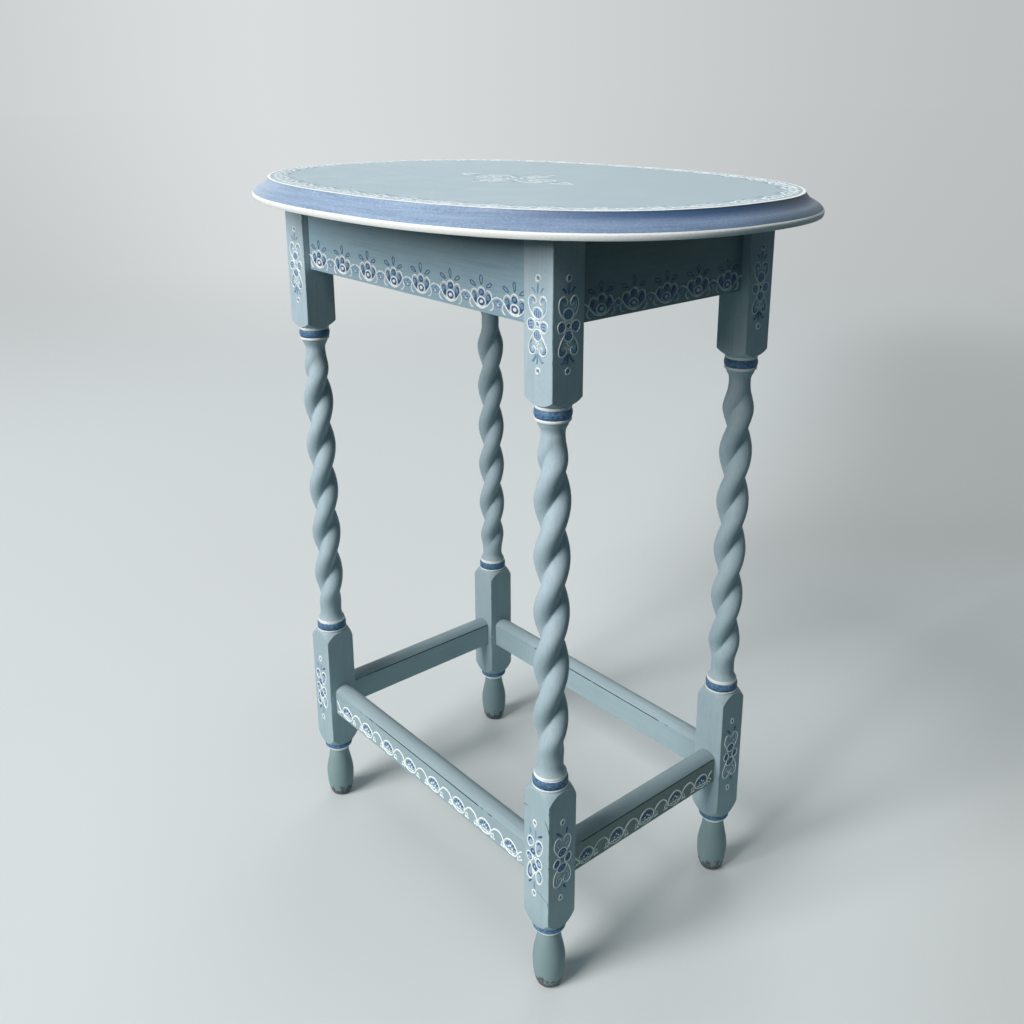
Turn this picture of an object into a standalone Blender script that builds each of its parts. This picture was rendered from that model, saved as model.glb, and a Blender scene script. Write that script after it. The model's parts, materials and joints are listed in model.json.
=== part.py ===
"""Barley twist side table: moulded top, four double-start twist legs, aprons and box stretchers.

Metres, +Z up. The origin is on the floor under the middle of the top, with X along its length.
"""
import math
from collections import namedtuple

import bmesh
import bpy

MM = 0.001

# Whole table
TABLE_HEIGHT = 730 * MM
LEG_CENTRES_LENGTH = 371.2 * MM
LEG_CENTRES_WIDTH = 238.4 * MM
FIT = 0.3 * MM                      # gap between two pieces that meet
OVERRUN = 10 * MM                   # how far a cutter runs past what it cuts

# Top: an oblong whose sides are one superellipse, with an ogee edge over a round nose
TOP_LENGTH = 594 * MM
TOP_WIDTH = 424 * MM
TOP_THICKNESS = 19 * MM
TOP_SQUARENESS = 2.36               # exponent of the outline: 2 is an ellipse, more is squarer
TOP_SIDES = 60
OGEE_WIDTH = 16 * MM                # from the widest line in to the arris round the flat surface
COVE_WIDTH = 8 * MM
COVE_DROP = 6.3 * MM
COVE_HOLLOW = 0.8 * MM
OVOLO_DROP = 8.3 * MM
OVOLO_SWELL = 1.5 * MM
NOSE_UNDERCUT = 3.4 * MM
NOSE_SWELL = 1 * MM
NOSE_STEPS = 2
OVOLO_STEPS = 4
COVE_STEPS = 3

# Legs: square blocks on a turned and twisted stick
LEG_SQUARE = 33.5 * MM
LEG_ARRIS = 0.8 * MM                # flat taken off each long corner of the blocks
TOP_BLOCK_LENGTH = 130.2 * MM       # down to where the shoulder starts at the corners
BOTTOM_BLOCK_LENGTH = 124.9 * MM
SPOKES = 16                         # sides of each turned or twisted section

# Foot and the beads over it
FOOT_HEIGHT = 62 * MM
FOOT_BASE_RADIUS = 8.5 * MM
FOOT_RADIUS = 15.5 * MM
FOOT_WIDEST_HEIGHT = 29 * MM
FOOT_NECK_RADIUS = 10.9 * MM
FOOT_RISE_SHARES = (0, 0.05, 0.18, 0.45)        # of the height of the widest line
FOOT_STEPS = 4                      # from the widest line up to the neck
ANKLE_BEAD_HEIGHT = 4 * MM
ANKLE_BEAD_RADIUS = 12.3 * MM
ANKLE_RING_HEIGHT = 6.5 * MM
ANKLE_RING_RADIUS = 15.7 * MM
ANKLE_SHOULDER = 12.5 * MM

# Rings between the bottom block and the twist
KNEE_SHOULDER = 11.3 * MM
KNEE_LINE_HEIGHT = 1.8 * MM
KNEE_LINE_RADIUS = 16.4 * MM
KNEE_RING_HEIGHT = 8 * MM
KNEE_RING_RADIUS = 16.1 * MM
KNEE_BEAD_HEIGHT = 3 * MM
KNEE_BEAD_RADIUS = 14.8 * MM
KNEE_COVE_HEIGHT = 9 * MM
KNEE_NECK_RADIUS = 11.7 * MM

# Rings between the twist and the top block
NECK_SHOULDER = 7 * MM
NECK_BEAD_HEIGHT = 2.5 * MM
NECK_BEAD_RADIUS = 15.2 * MM
NECK_RING_HEIGHT = 8 * MM
NECK_RING_RADIUS = 15.8 * MM
NECK_FILLET_HEIGHT = 4 * MM
NECK_FILLET_RADIUS = 13.9 * MM
NECK_FLARE_HEIGHT = 8.5 * MM
NECK_FLARE_RADIUS = 12.4 * MM
NECK_RADIUS = 10.2 * MM

# Curves that all the turned shapes share
RING_WAIST = 1.1 * MM               # how much less a ring measures at its edges than at its middle
BEAD_WAIST = 0.4 * MM
COVE_DEPTH = 0.8 * MM
SHOULDER_SWELL = 0.7 * MM
BEAD_STEPS = 2
RING_STEPS = 3                      # on the two coloured rings next to the twist
SHOULDER_STEPS = 3
NECK_STEPS = 2

# Barley twist: two round strands wound about each other, right-handed
TWIST_PITCH = 101.4 * MM            # height of one full turn of one strand
STRAND_RADIUS = 9.9 * MM
STRAND_OFFSET = 5.6 * MM            # strand centre from the leg's axis
TWIST_RUN_OUT = 32 * MM             # height over which the strands die into the necks
TWIST_STEPS_PER_TURN = 10

# Aprons
APRON_THICKNESS = 18 * MM
APRON_DEPTH = 74.2 * MM
LONG_APRON_SETBACK = 6.6 * MM       # leg's outer face to the apron's face
SHORT_APRON_SETBACK = 9 * MM
LONG_APRON_DOWEL_DROPS = (50 * MM, 18 * MM)     # dowel centres below the apron's top edge
SHORT_APRON_DOWEL_DROPS = (61 * MM, 29 * MM)

# Stretchers
STRETCHER_THICKNESS = 20 * MM
STRETCHER_SIDE_HEIGHT = 28 * MM     # of the flat face, up to the arris under the arched top
STRETCHER_ARCH_RISE = 5.5 * MM
STRETCHER_UNDERSIDE = 118.5 * MM      # above the floor
STRETCHER_ARCH_STEPS = 8
TENON_THICKNESS = 8 * MM
TENON_LOWER_SHOULDER = 4 * MM
TENON_UPPER_SHOULDER = 4 * MM       # below the arris
TENON_WALL = 1.2 * MM               # wood left in a leg between its two mortises

# Dowels of the apron joints
DOWEL_RADIUS = 4 * MM
DOWEL_IN_LEG = 12 * MM
DOWEL_IN_RAIL = 16 * MM
DOWEL_CHAMFER = 0.8 * MM
DOWEL_SIDES = 8

# Corner blocks and the screws that hold the top
BLOCK_LEG = 52 * MM                 # along each apron
BLOCK_HEIGHT = 26 * MM
SCREW_RADIUS = 2 * MM
SCREW_HEAD_RADIUS = 4 * MM
SCREW_HEAD_RIM = 0.6 * MM
SCREW_HEAD_CONE = 2.4 * MM
SCREW_IN_TOP = 12 * MM
SCREW_POINT = 3 * MM
SCREW_POINT_RADIUS = 0.6 * MM
SCREW_SIDES = 10

# Places that follow from the sizes above
UNDERSIDE = TABLE_HEIGHT - TOP_THICKNESS
FRAME_TOP = UNDERSIDE - FIT
HALF_SQUARE = LEG_SQUARE / 2
HALF_DIAGONAL = HALF_SQUARE * math.sqrt(2)
LEG_X = LEG_CENTRES_LENGTH / 2
LEG_Y = LEG_CENTRES_WIDTH / 2
LONG_APRON_Y = LEG_Y + HALF_SQUARE - LONG_APRON_SETBACK - APRON_THICKNESS / 2
SHORT_APRON_X = LEG_X + HALF_SQUARE - SHORT_APRON_SETBACK - APRON_THICKNESS / 2
INNER_FACE_X = LEG_X - HALF_SQUARE  # of the legs, where the rails end
INNER_FACE_Y = LEG_Y - HALF_SQUARE
TENON_LENGTH = HALF_SQUARE - TENON_THICKNESS / 2 - TENON_WALL

# Each leg: its node, its side of the table in X and Y, and how far its twist is turned, in degrees,
# where it passes half way between the two necks
LEGS = (
    ("leg_front_left", -1, -1, 79),
    ("leg_front_right", 1, -1, 69),
    ("leg_back_left", -1, 1, 174),
    ("leg_back_right", 1, 1, 108),
)

# Each side of the frame: its name, the way its apron and its stretcher run, and its side of the table
SIDES = (("front", "X", -1), ("back", "X", 1), ("left", "Y", -1), ("right", "Y", 1))

Dowel = namedtuple("Dowel", "name apron along end x y z")

# Finishes, and the angle up to which neighbouring faces are shaded as one
Finish = namedtuple("Finish", "colour roughness metallic")
PAINT_GREY_BLUE = Finish((0.47, 0.57, 0.60, 1), roughness=0.6, metallic=0)
PAINT_CORNFLOWER = Finish((0.30, 0.40, 0.60, 1), roughness=0.5, metallic=0)
RAW_BEECH = Finish((0.62, 0.45, 0.28, 1), roughness=0.7, metallic=0)
RAW_OAK = Finish((0.45, 0.32, 0.19, 1), roughness=0.8, metallic=0)
STEEL = Finish((0.45, 0.45, 0.46, 1), roughness=0.4, metallic=1)
SMOOTH_UP_TO = math.radians(35)


def clear_scene():
    for item in list(bpy.data.objects):
        bpy.data.objects.remove(item, do_unlink=True)


def material_of(name, finish):
    material = bpy.data.materials.new(name)
    material.use_nodes = True
    shader = material.node_tree.nodes["Principled BSDF"]
    shader.inputs["Base Color"].default_value = finish.colour
    shader.inputs["Roughness"].default_value = finish.roughness
    shader.inputs["Metallic"].default_value = finish.metallic
    return material


def add_object(name, mesh, finish):
    """Put a mesh in the scene as one named sub-part with its own material."""
    mesh.shade_smooth()
    mesh.set_sharp_from_angle(angle=SMOOTH_UP_TO)
    mesh.materials.append(material_of(name + "_finish", finish))
    piece = bpy.data.objects.new(name, mesh)
    bpy.context.scene.collection.objects.link(piece)
    return piece


def add_cutter(name, mesh):
    cutter = bpy.data.objects.new(name, mesh)
    bpy.context.scene.collection.objects.link(cutter)
    cutter.hide_render = True
    cutter.display_type = "WIRE"
    return cutter


def cut(piece, cutter, operation="DIFFERENCE"):
    boolean = piece.modifiers.new(cutter.name, "BOOLEAN")
    boolean.operation = operation
    boolean.solver = "EXACT"
    boolean.object = cutter


def loft(bm, loops):
    """Skin a stack of matching closed loops, with a cap at each end."""
    rings = [[bm.verts.new(point) for point in loop] for loop in loops]
    count = len(rings[0])
    for lower, upper in zip(rings, rings[1:]):
        for i in range(count):
            k = (i + 1) % count
            bm.faces.new((lower[i], lower[k], upper[k], upper[i]))
    bm.faces.new(list(reversed(rings[0])))
    bm.faces.new(rings[-1])


def mesh_of(name, *stacks):
    """A mesh of one or more lofted solids, each given as its stack of loops."""
    bm = bmesh.new()
    for loops in stacks:
        loft(bm, loops)
    bmesh.ops.recalc_face_normals(bm, faces=bm.faces)
    mesh = bpy.data.meshes.new(name)
    bm.to_mesh(mesh)
    bm.free()
    return mesh


def arc(start, end, swell, steps):
    """Points after start on a circular arc to end, which bows to the left of the way it runs."""
    (x0, y0), (x1, y1) = start, end
    chord = math.hypot(x1 - x0, y1 - y0)
    along = ((x1 - x0) / chord, (y1 - y0) / chord)
    left = (-along[1], along[0])
    radius = (chord * chord / 4 + swell * swell) / (2 * swell)
    half_angle = math.asin(min(1.0, chord / (2 * abs(radius)))) * math.copysign(1, swell)
    points = []
    for step in range(1, steps + 1):
        angle = half_angle * (2 * step / steps - 1)
        run = chord / 2 + abs(radius) * math.sin(abs(half_angle) * (2 * step / steps - 1))
        rise = swell - radius * (1 - math.cos(angle))
        points.append((x0 + along[0] * run + left[0] * rise, y0 + along[1] * run + left[1] * rise))
    return points


# Top

def top_outline(inset, height):
    """The top's widest outline, moved in by inset, as a loop at a height."""
    half_length = TOP_LENGTH / 2
    half_width = TOP_WIDTH / 2
    loop = []
    for side in range(TOP_SIDES):
        turn = 2 * math.pi * side / TOP_SIDES
        c, s = math.cos(turn), math.sin(turn)
        size = (abs(c) ** TOP_SQUARENESS + abs(s) ** TOP_SQUARENESS) ** (1 / TOP_SQUARENESS)
        x, y = half_length * c / size, half_width * s / size
        nx = math.copysign(abs(c / size) ** (TOP_SQUARENESS - 1) / half_length, c)
        ny = math.copysign(abs(s / size) ** (TOP_SQUARENESS - 1) / half_width, s)
        slope = math.hypot(nx, ny)
        loop.append((x - inset * nx / slope, y - inset * ny / slope, height))
    return loop


def top_edge_profile():
    """(inset, height) points of the moulded edge, from the underside up to the arris."""
    widest = (0.0, TABLE_HEIGHT - COVE_DROP - OVOLO_DROP)
    break_line = (OGEE_WIDTH - COVE_WIDTH, TABLE_HEIGHT - COVE_DROP)
    profile = [(NOSE_UNDERCUT, UNDERSIDE)]
    profile += arc(profile[-1], widest, NOSE_SWELL, NOSE_STEPS)
    profile += arc(profile[-1], break_line, OVOLO_SWELL, OVOLO_STEPS)
    profile += arc(profile[-1], (OGEE_WIDTH, TABLE_HEIGHT), -COVE_HOLLOW, COVE_STEPS)
    return profile


def make_top():
    loops = [top_outline(inset, height) for inset, height in top_edge_profile()]
    top = add_object("top", mesh_of("top", loops), PAINT_CORNFLOWER)
    holes = [screw_loops(*screw_axis(side_x, side_y), FIT) for _, side_x, side_y, _ in LEGS]
    cut(top, add_cutter("top_screw_holes", mesh_of("top_screw_holes", *holes)))


# Turned and twisted legs

def section(height, radius, offset=0.0, turn=0.0):
    """A loop round two circles set off centre, one on each side of the axis; one circle at offset 0."""
    loop = []
    for spoke in range(SPOKES):
        angle = 2 * math.pi * spoke / SPOKES
        reach = offset * abs(math.cos(angle)) + math.sqrt(radius ** 2 - (offset * math.sin(angle)) ** 2)
        loop.append((reach * math.cos(angle + turn), reach * math.sin(angle + turn), height))
    return loop


def bead(bottom, height, radius, waist, steps=BEAD_STEPS):
    """(height, radius) points of a turned bead that is waist smaller at its edges."""
    low, high = (bottom, radius - waist), (bottom + height, radius - waist)
    return [low] + arc(low, high, waist, steps)


def shoulder(corner, end, radius):
    """(height, radius) points where a square block is turned down from its corners to a ring."""
    past = math.copysign(LEG_ARRIS, corner - end)
    swell = math.copysign(SHOULDER_SWELL, end - corner)
    curve = arc((corner, HALF_DIAGONAL), (end, radius), swell, SHOULDER_STEPS)
    return [(corner + past, HALF_DIAGONAL + LEG_ARRIS), (corner, HALF_DIAGONAL)] + curve


def foot_profile():
    """(height, radius) points of the pear foot, from the floor to just under its neck."""
    points = []
    for part in FOOT_RISE_SHARES:
        swell = (FOOT_RADIUS - FOOT_BASE_RADIUS) * math.sqrt(1 - (1 - part) ** 2)
        points.append((FOOT_WIDEST_HEIGHT * part, FOOT_BASE_RADIUS + swell))
    for step in range(FOOT_STEPS):
        part = step / FOOT_STEPS
        fade = (1 + math.cos(math.pi * part)) / 2
        height = FOOT_WIDEST_HEIGHT + (FOOT_HEIGHT - FOOT_WIDEST_HEIGHT) * part
        points.append((height, FOOT_NECK_RADIUS + (FOOT_RADIUS - FOOT_NECK_RADIUS) * fade))
    return points


def lower_profile():
    """(height, radius) points from the floor to the neck under the twist."""
    points = foot_profile()
    at = FOOT_HEIGHT
    points += bead(at, ANKLE_BEAD_HEIGHT, ANKLE_BEAD_RADIUS, ANKLE_BEAD_RADIUS - FOOT_NECK_RADIUS)
    at += ANKLE_BEAD_HEIGHT
    points += bead(at, ANKLE_RING_HEIGHT, ANKLE_RING_RADIUS, RING_WAIST)
    at += ANKLE_RING_HEIGHT
    corner = at + ANKLE_SHOULDER
    points += reversed(shoulder(corner, at, ANKLE_RING_RADIUS))
    at = corner + BOTTOM_BLOCK_LENGTH
    points += shoulder(at, at + KNEE_SHOULDER, KNEE_RING_RADIUS - RING_WAIST)
    at += KNEE_SHOULDER
    points += [(at, KNEE_LINE_RADIUS), (at + KNEE_LINE_HEIGHT, KNEE_LINE_RADIUS)]
    at += KNEE_LINE_HEIGHT
    points += bead(at, KNEE_RING_HEIGHT, KNEE_RING_RADIUS, RING_WAIST, RING_STEPS)
    at += KNEE_RING_HEIGHT
    points += bead(at, KNEE_BEAD_HEIGHT, KNEE_BEAD_RADIUS, BEAD_WAIST)
    at += KNEE_BEAD_HEIGHT
    points += arc(points[-1], (at + KNEE_COVE_HEIGHT, KNEE_NECK_RADIUS), -COVE_DEPTH, NECK_STEPS)
    return points


def upper_profile():
    """(height, radius) points from the neck over the twist to the top block's shoulder."""
    corner = FRAME_TOP - TOP_BLOCK_LENGTH
    at = corner - NECK_SHOULDER
    points = shoulder(corner, at, NECK_BEAD_RADIUS - RING_WAIST)
    at -= NECK_BEAD_HEIGHT
    points += reversed(bead(at, NECK_BEAD_HEIGHT, NECK_BEAD_RADIUS, BEAD_WAIST))
    at -= NECK_RING_HEIGHT
    points += reversed(bead(at, NECK_RING_HEIGHT, NECK_RING_RADIUS, RING_WAIST, RING_STEPS))
    at -= NECK_BEAD_HEIGHT
    points += reversed(bead(at, NECK_BEAD_HEIGHT, NECK_BEAD_RADIUS, BEAD_WAIST))
    points += [(at, NECK_FILLET_RADIUS), (at - NECK_FILLET_HEIGHT, NECK_FLARE_RADIUS)]
    at -= NECK_FILLET_HEIGHT
    points += arc(points[-1], (at - NECK_FLARE_HEIGHT, NECK_RADIUS), COVE_DEPTH, NECK_STEPS)
    return list(reversed(points))


def ease(part):
    part = min(max(part, 0.0), 1.0)
    return part * part * (3 - 2 * part)


def twist_sections(low, high, turn_half_way):
    """Loops of the twist between the two necks, and the turn it has at each of them."""
    steps = round((high - low) / TWIST_PITCH * TWIST_STEPS_PER_TURN)
    loops = []
    turns = []
    for step in range(steps + 1):
        height = low + (high - low) * step / steps
        turn = math.radians(turn_half_way) + 2 * math.pi * (height - (low + high) / 2) / TWIST_PITCH
        below, above = (height - low) / TWIST_RUN_OUT, (high - height) / TWIST_RUN_OUT
        full = ease(min(below, above))
        neck = KNEE_NECK_RADIUS if below < above else NECK_RADIUS
        radius = STRAND_RADIUS + (neck - STRAND_RADIUS) * (1 - full)
        loops.append(section(height, radius, STRAND_OFFSET * full, turn))
        turns.append(turn)
    return loops, turns[0], turns[-1]


def turned_leg_loops(turn_half_way):
    lower, upper = lower_profile(), upper_profile()
    twist, turn_low, turn_high = twist_sections(lower[-1][0], upper[0][0], turn_half_way)
    loops = [section(height, radius, turn=turn_low) for height, radius in lower[:-1]]
    loops += twist
    loops += [section(height, radius, turn=turn_high) for height, radius in upper[1:]]
    loops.append(section(FRAME_TOP + OVERRUN, HALF_DIAGONAL + LEG_ARRIS, turn=turn_high))
    return loops


def square_bar_loops():
    """The bar that each leg is turned from: a square with its four long corners eased."""
    flat = HALF_SQUARE - LEG_ARRIS
    corners = [(1, 1), (-1, 1), (-1, -1), (1, -1)]
    outline = []
    for i, (sx, sy) in enumerate(corners):
        pair = [(sx * HALF_SQUARE, sy * flat), (sx * flat, sy * HALF_SQUARE)]
        outline += pair if i % 2 == 0 else reversed(pair)
    return [[(x, y, height) for x, y in outline] for height in (-OVERRUN, FRAME_TOP)]


def move(loops, x, y, z=0.0):
    return [[(px + x, py + y, pz + z) for px, py, pz in loop] for loop in loops]


def make_legs():
    for name, side_x, side_y, turn in LEGS:
        x, y = side_x * LEG_X, side_y * LEG_Y
        leg = add_object(name, mesh_of(name, move(turned_leg_loops(turn), x, y)), PAINT_GREY_BLUE)
        bar = mesh_of(name + "_bar", move(square_bar_loops(), x, y))
        cut(leg, add_cutter(name + "_bar", bar), "INTERSECT")
        cut(leg, add_cutter(name + "_joints", mesh_of(name + "_joints", *leg_joints(side_x, side_y))))


def leg_joints(side_x, side_y):
    """The dowel holes and mortises of one leg."""
    joints = []
    for dowel in dowels():
        if dowel.x * side_x > 0 and dowel.y * side_y > 0:
            joints.append(dowel_loops(dowel, dowel_hole_stations()))
    for _, along, side in SIDES:
        if side == (side_y if along == "X" else side_x):
            joints.append(tenon_loops(along, side, FIT))
    return joints


# Dowels of the apron joints

def dowels():
    """Every apron dowel, by the point where it crosses its joint face."""
    for side_name, along, side in SIDES:
        drops = LONG_APRON_DOWEL_DROPS if along == "X" else SHORT_APRON_DOWEL_DROPS
        ends = ("left", "right") if along == "X" else ("front", "back")
        for end_name, end in zip(ends, (-1, 1)):
            for level, drop in zip(("lower", "upper"), drops):
                name = f"apron_{side_name}_dowel_{end_name}_{level}"
                x = end * INNER_FACE_X if along == "X" else side * SHORT_APRON_X
                y = side * LONG_APRON_Y if along == "X" else end * INNER_FACE_Y
                yield Dowel(name, side_name, along, end, x, y, FRAME_TOP - drop)


def dowel_stations():
    """(run, radius) along a dowel with chamfered ends, from inside its rail to inside its leg."""
    return ((-DOWEL_IN_RAIL, DOWEL_RADIUS - DOWEL_CHAMFER), (DOWEL_CHAMFER - DOWEL_IN_RAIL, DOWEL_RADIUS),
            (DOWEL_IN_LEG - DOWEL_CHAMFER, DOWEL_RADIUS), (DOWEL_IN_LEG, DOWEL_RADIUS - DOWEL_CHAMFER))


def dowel_hole_stations():
    """(run, radius) along the plain hole drilled for a dowel."""
    return ((-DOWEL_IN_RAIL - FIT, DOWEL_RADIUS + FIT), (DOWEL_IN_LEG + FIT, DOWEL_RADIUS + FIT))


def dowel_loops(dowel, stations):
    """A round bar across the dowel's joint face."""
    loops = []
    for run, reach in stations:
        step = run * dowel.end
        loop = []
        for side in range(DOWEL_SIDES):
            angle = 2 * math.pi * side / DOWEL_SIDES
            u, v = reach * math.cos(angle), reach * math.sin(angle)
            place = (step, u, v) if dowel.along == "X" else (u, step, v)
            loop.append((dowel.x + place[0], dowel.y + place[1], dowel.z + place[2]))
        loops.append(loop)
    return loops


def make_dowels():
    for dowel in dowels():
        add_object(dowel.name, mesh_of(dowel.name, dowel_loops(dowel, dowel_stations())), RAW_BEECH)


# Rails

def rail_loops(along, side, across, reach, outline):
    """A straight rail of one outline, given as (out, height) points, out being away from the middle."""
    loops = []
    for run in (-reach, reach):
        if along == "X":
            loops.append([(run, side * (across + out), height) for out, height in outline])
        else:
            loops.append([(side * (across + out), run, height) for out, height in outline])
    return loops


def rectangle(half_width, low, high):
    return [(half_width, low), (half_width, high), (-half_width, high), (-half_width, low)]


def make_aprons():
    outline = rectangle(APRON_THICKNESS / 2, FRAME_TOP - APRON_DEPTH, FRAME_TOP)
    for side_name, along, side in SIDES:
        name = "apron_" + side_name
        across = LONG_APRON_Y if along == "X" else SHORT_APRON_X
        reach = (INNER_FACE_X if along == "X" else INNER_FACE_Y) - FIT
        loops = rail_loops(along, side, across, reach, outline)
        apron = add_object(name, mesh_of(name, loops), PAINT_GREY_BLUE)
        holes = [dowel_loops(dowel, dowel_hole_stations()) for dowel in dowels() if dowel.apron == side_name]
        cut(apron, add_cutter(name + "_holes", mesh_of(name + "_holes", *holes)))


def stretcher_outline():
    """Flat under, upright at the sides, and arched on top from arris to arris."""
    half = STRETCHER_THICKNESS / 2
    arris = STRETCHER_UNDERSIDE + STRETCHER_SIDE_HEIGHT
    outline = [(-half, STRETCHER_UNDERSIDE), (half, STRETCHER_UNDERSIDE), (half, arris)]
    return outline + arc((half, arris), (-half, arris), -STRETCHER_ARCH_RISE, STRETCHER_ARCH_STEPS)


def tenon_loops(along, side, fit=0.0):
    """The bar whose two ends are a stretcher's tenons; fit makes it the mortises for them."""
    low = STRETCHER_UNDERSIDE + TENON_LOWER_SHOULDER - fit
    high = STRETCHER_UNDERSIDE + STRETCHER_SIDE_HEIGHT - TENON_UPPER_SHOULDER + fit
    across = LEG_Y if along == "X" else LEG_X
    reach = (INNER_FACE_X if along == "X" else INNER_FACE_Y) + TENON_LENGTH + fit
    return rail_loops(along, side, across, reach, rectangle(TENON_THICKNESS / 2 + fit, low, high))


def make_stretchers():
    for side_name, along, side in SIDES:
        name = "stretcher_" + side_name
        across = LEG_Y if along == "X" else LEG_X
        reach = (INNER_FACE_X if along == "X" else INNER_FACE_Y) - FIT
        loops = rail_loops(along, side, across, reach, stretcher_outline())
        stretcher = add_object(name, mesh_of(name, loops), PAINT_GREY_BLUE)
        tenons = add_cutter(name + "_tenons", mesh_of(name + "_tenons", tenon_loops(along, side)))
        cut(stretcher, tenons, "UNION")


# Corner blocks and the screws that hold the top

def block_corner(side_x, side_y):
    """Where the inner faces of two aprons would meet behind a leg."""
    return (side_x * (SHORT_APRON_X - APRON_THICKNESS / 2 - FIT),
            side_y * (LONG_APRON_Y - APRON_THICKNESS / 2 - FIT))


def screw_axis(side_x, side_y):
    """Half way from the leg's inner corner to the long face of the corner block."""
    corner_x, corner_y = block_corner(side_x, side_y)
    leg_x, leg_y = side_x * INNER_FACE_X, side_y * INNER_FACE_Y
    depth = (BLOCK_LEG - abs(corner_x - leg_x) - abs(corner_y - leg_y)) / 2
    return leg_x - side_x * depth / 2, leg_y - side_y * depth / 2


def screw_loops(x, y, fit=0.0):
    """One countersunk screw, head down under the block; fit makes it the hole for one."""
    foot = FRAME_TOP - BLOCK_HEIGHT
    tip = UNDERSIDE + SCREW_IN_TOP
    stations = ((foot, SCREW_HEAD_RADIUS), (foot + SCREW_HEAD_RIM, SCREW_HEAD_RADIUS),
                (foot + SCREW_HEAD_RIM + SCREW_HEAD_CONE, SCREW_RADIUS),
                (tip - SCREW_POINT, SCREW_RADIUS), (tip, SCREW_POINT_RADIUS))
    loops = []
    for i, (height, radius) in enumerate(stations):
        if fit:
            height += fit if i == len(stations) - 1 else 0
            height -= OVERRUN if i == 0 else 0
        ring = [2 * math.pi * side / SCREW_SIDES for side in range(SCREW_SIDES)]
        reach = radius + fit
        loops.append([(x + reach * math.cos(turn), y + reach * math.sin(turn), height) for turn in ring])
    return loops


def make_corner_blocks():
    for leg_name, side_x, side_y, _ in LEGS:
        name = leg_name.replace("leg", "corner_block")
        corner_x, corner_y = block_corner(side_x, side_y)
        outline = [(corner_x, corner_y), (corner_x - side_x * BLOCK_LEG, corner_y),
                   (corner_x, corner_y - side_y * BLOCK_LEG)]
        loops = [[(x, y, z) for x, y in outline] for z in (FRAME_TOP - BLOCK_HEIGHT, FRAME_TOP)]
        block = add_object(name, mesh_of(name, loops), RAW_OAK)
        cut(block, add_cutter(name + "_notch", notch_mesh(name + "_notch", side_x, side_y)))
        hole = mesh_of(name + "_screw_hole", screw_loops(*screw_axis(side_x, side_y), FIT))
        cut(block, add_cutter(name + "_screw_hole", hole))


def notch_mesh(name, side_x, side_y):
    """The leg's square, a fit larger, tall enough to cut right through a corner block."""
    half = HALF_SQUARE + FIT
    x, y = side_x * LEG_X, side_y * LEG_Y
    square = [(x - half, y - half), (x + half, y - half), (x + half, y + half), (x - half, y + half)]
    heights = (FRAME_TOP - BLOCK_HEIGHT - OVERRUN, FRAME_TOP + OVERRUN)
    return mesh_of(name, [[(px, py, z) for px, py in square] for z in heights])


def make_screws():
    for leg_name, side_x, side_y, _ in LEGS:
        name = leg_name.replace("leg", "top_screw")
        loops = screw_loops(*screw_axis(side_x, side_y))
        add_object(name, mesh_of(name, loops), STEEL)


clear_scene()
make_top()
make_legs()
make_aprons()
make_stretchers()
make_dowels()
make_corner_blocks()
make_screws()
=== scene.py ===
"""Looks of the barley twist side table: hand-brushed chalk paint over turned wood, with painted scrollwork.

Metres, +Z up, in the frame's own place. The camera stands where the photograph was taken.
"""
import bisect
import functools
import json
from math import asin, copysign, cos, dist, pi, radians, sin, sqrt, tau

import bmesh
import bpy
from mathutils import Matrix, Vector, noise

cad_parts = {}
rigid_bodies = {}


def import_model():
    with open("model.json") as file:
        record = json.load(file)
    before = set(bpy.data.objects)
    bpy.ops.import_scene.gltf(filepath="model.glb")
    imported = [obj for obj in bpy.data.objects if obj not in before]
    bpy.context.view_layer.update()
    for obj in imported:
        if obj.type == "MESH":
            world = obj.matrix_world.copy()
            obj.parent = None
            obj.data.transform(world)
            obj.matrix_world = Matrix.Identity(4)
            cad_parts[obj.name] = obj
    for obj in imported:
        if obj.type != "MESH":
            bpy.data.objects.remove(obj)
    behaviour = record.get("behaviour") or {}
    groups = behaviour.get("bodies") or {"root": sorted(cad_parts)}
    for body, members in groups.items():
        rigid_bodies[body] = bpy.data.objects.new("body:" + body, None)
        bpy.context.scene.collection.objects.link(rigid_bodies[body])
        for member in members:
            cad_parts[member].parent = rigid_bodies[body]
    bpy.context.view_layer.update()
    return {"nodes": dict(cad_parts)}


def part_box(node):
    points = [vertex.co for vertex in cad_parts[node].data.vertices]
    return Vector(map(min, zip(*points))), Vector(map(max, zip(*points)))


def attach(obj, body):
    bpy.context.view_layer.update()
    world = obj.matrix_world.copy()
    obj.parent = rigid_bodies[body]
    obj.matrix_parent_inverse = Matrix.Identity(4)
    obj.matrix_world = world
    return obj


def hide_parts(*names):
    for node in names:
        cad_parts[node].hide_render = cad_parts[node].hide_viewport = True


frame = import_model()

MM = 0.001

# The top: its outline as the solid has it, its moulded edge as the photograph shows it with the paint on
TABLE_HEIGHT = 730 * MM
TOP_LENGTH = 594 * MM
TOP_WIDTH = 424 * MM
TOP_THICKNESS = 19 * MM
TOP_SQUARENESS = 2.36
OGEE_WIDTH = 16 * MM
COVE_WIDTH = 8 * MM
COVE_DROP = 8.7 * MM
COVE_HOLLOW = 1.15 * MM
OVOLO_DROP = 6.6 * MM
OVOLO_SWELL = 0.8 * MM
NOSE_UNDERCUT = 0.6 * MM
NOSE_SWELL = 0.4 * MM
CUPPING = 0.6 * MM                  # how far the top's rim hangs lower than the middle of its underside
UNDERSIDE = TABLE_HEIGHT - TOP_THICKNESS

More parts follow.
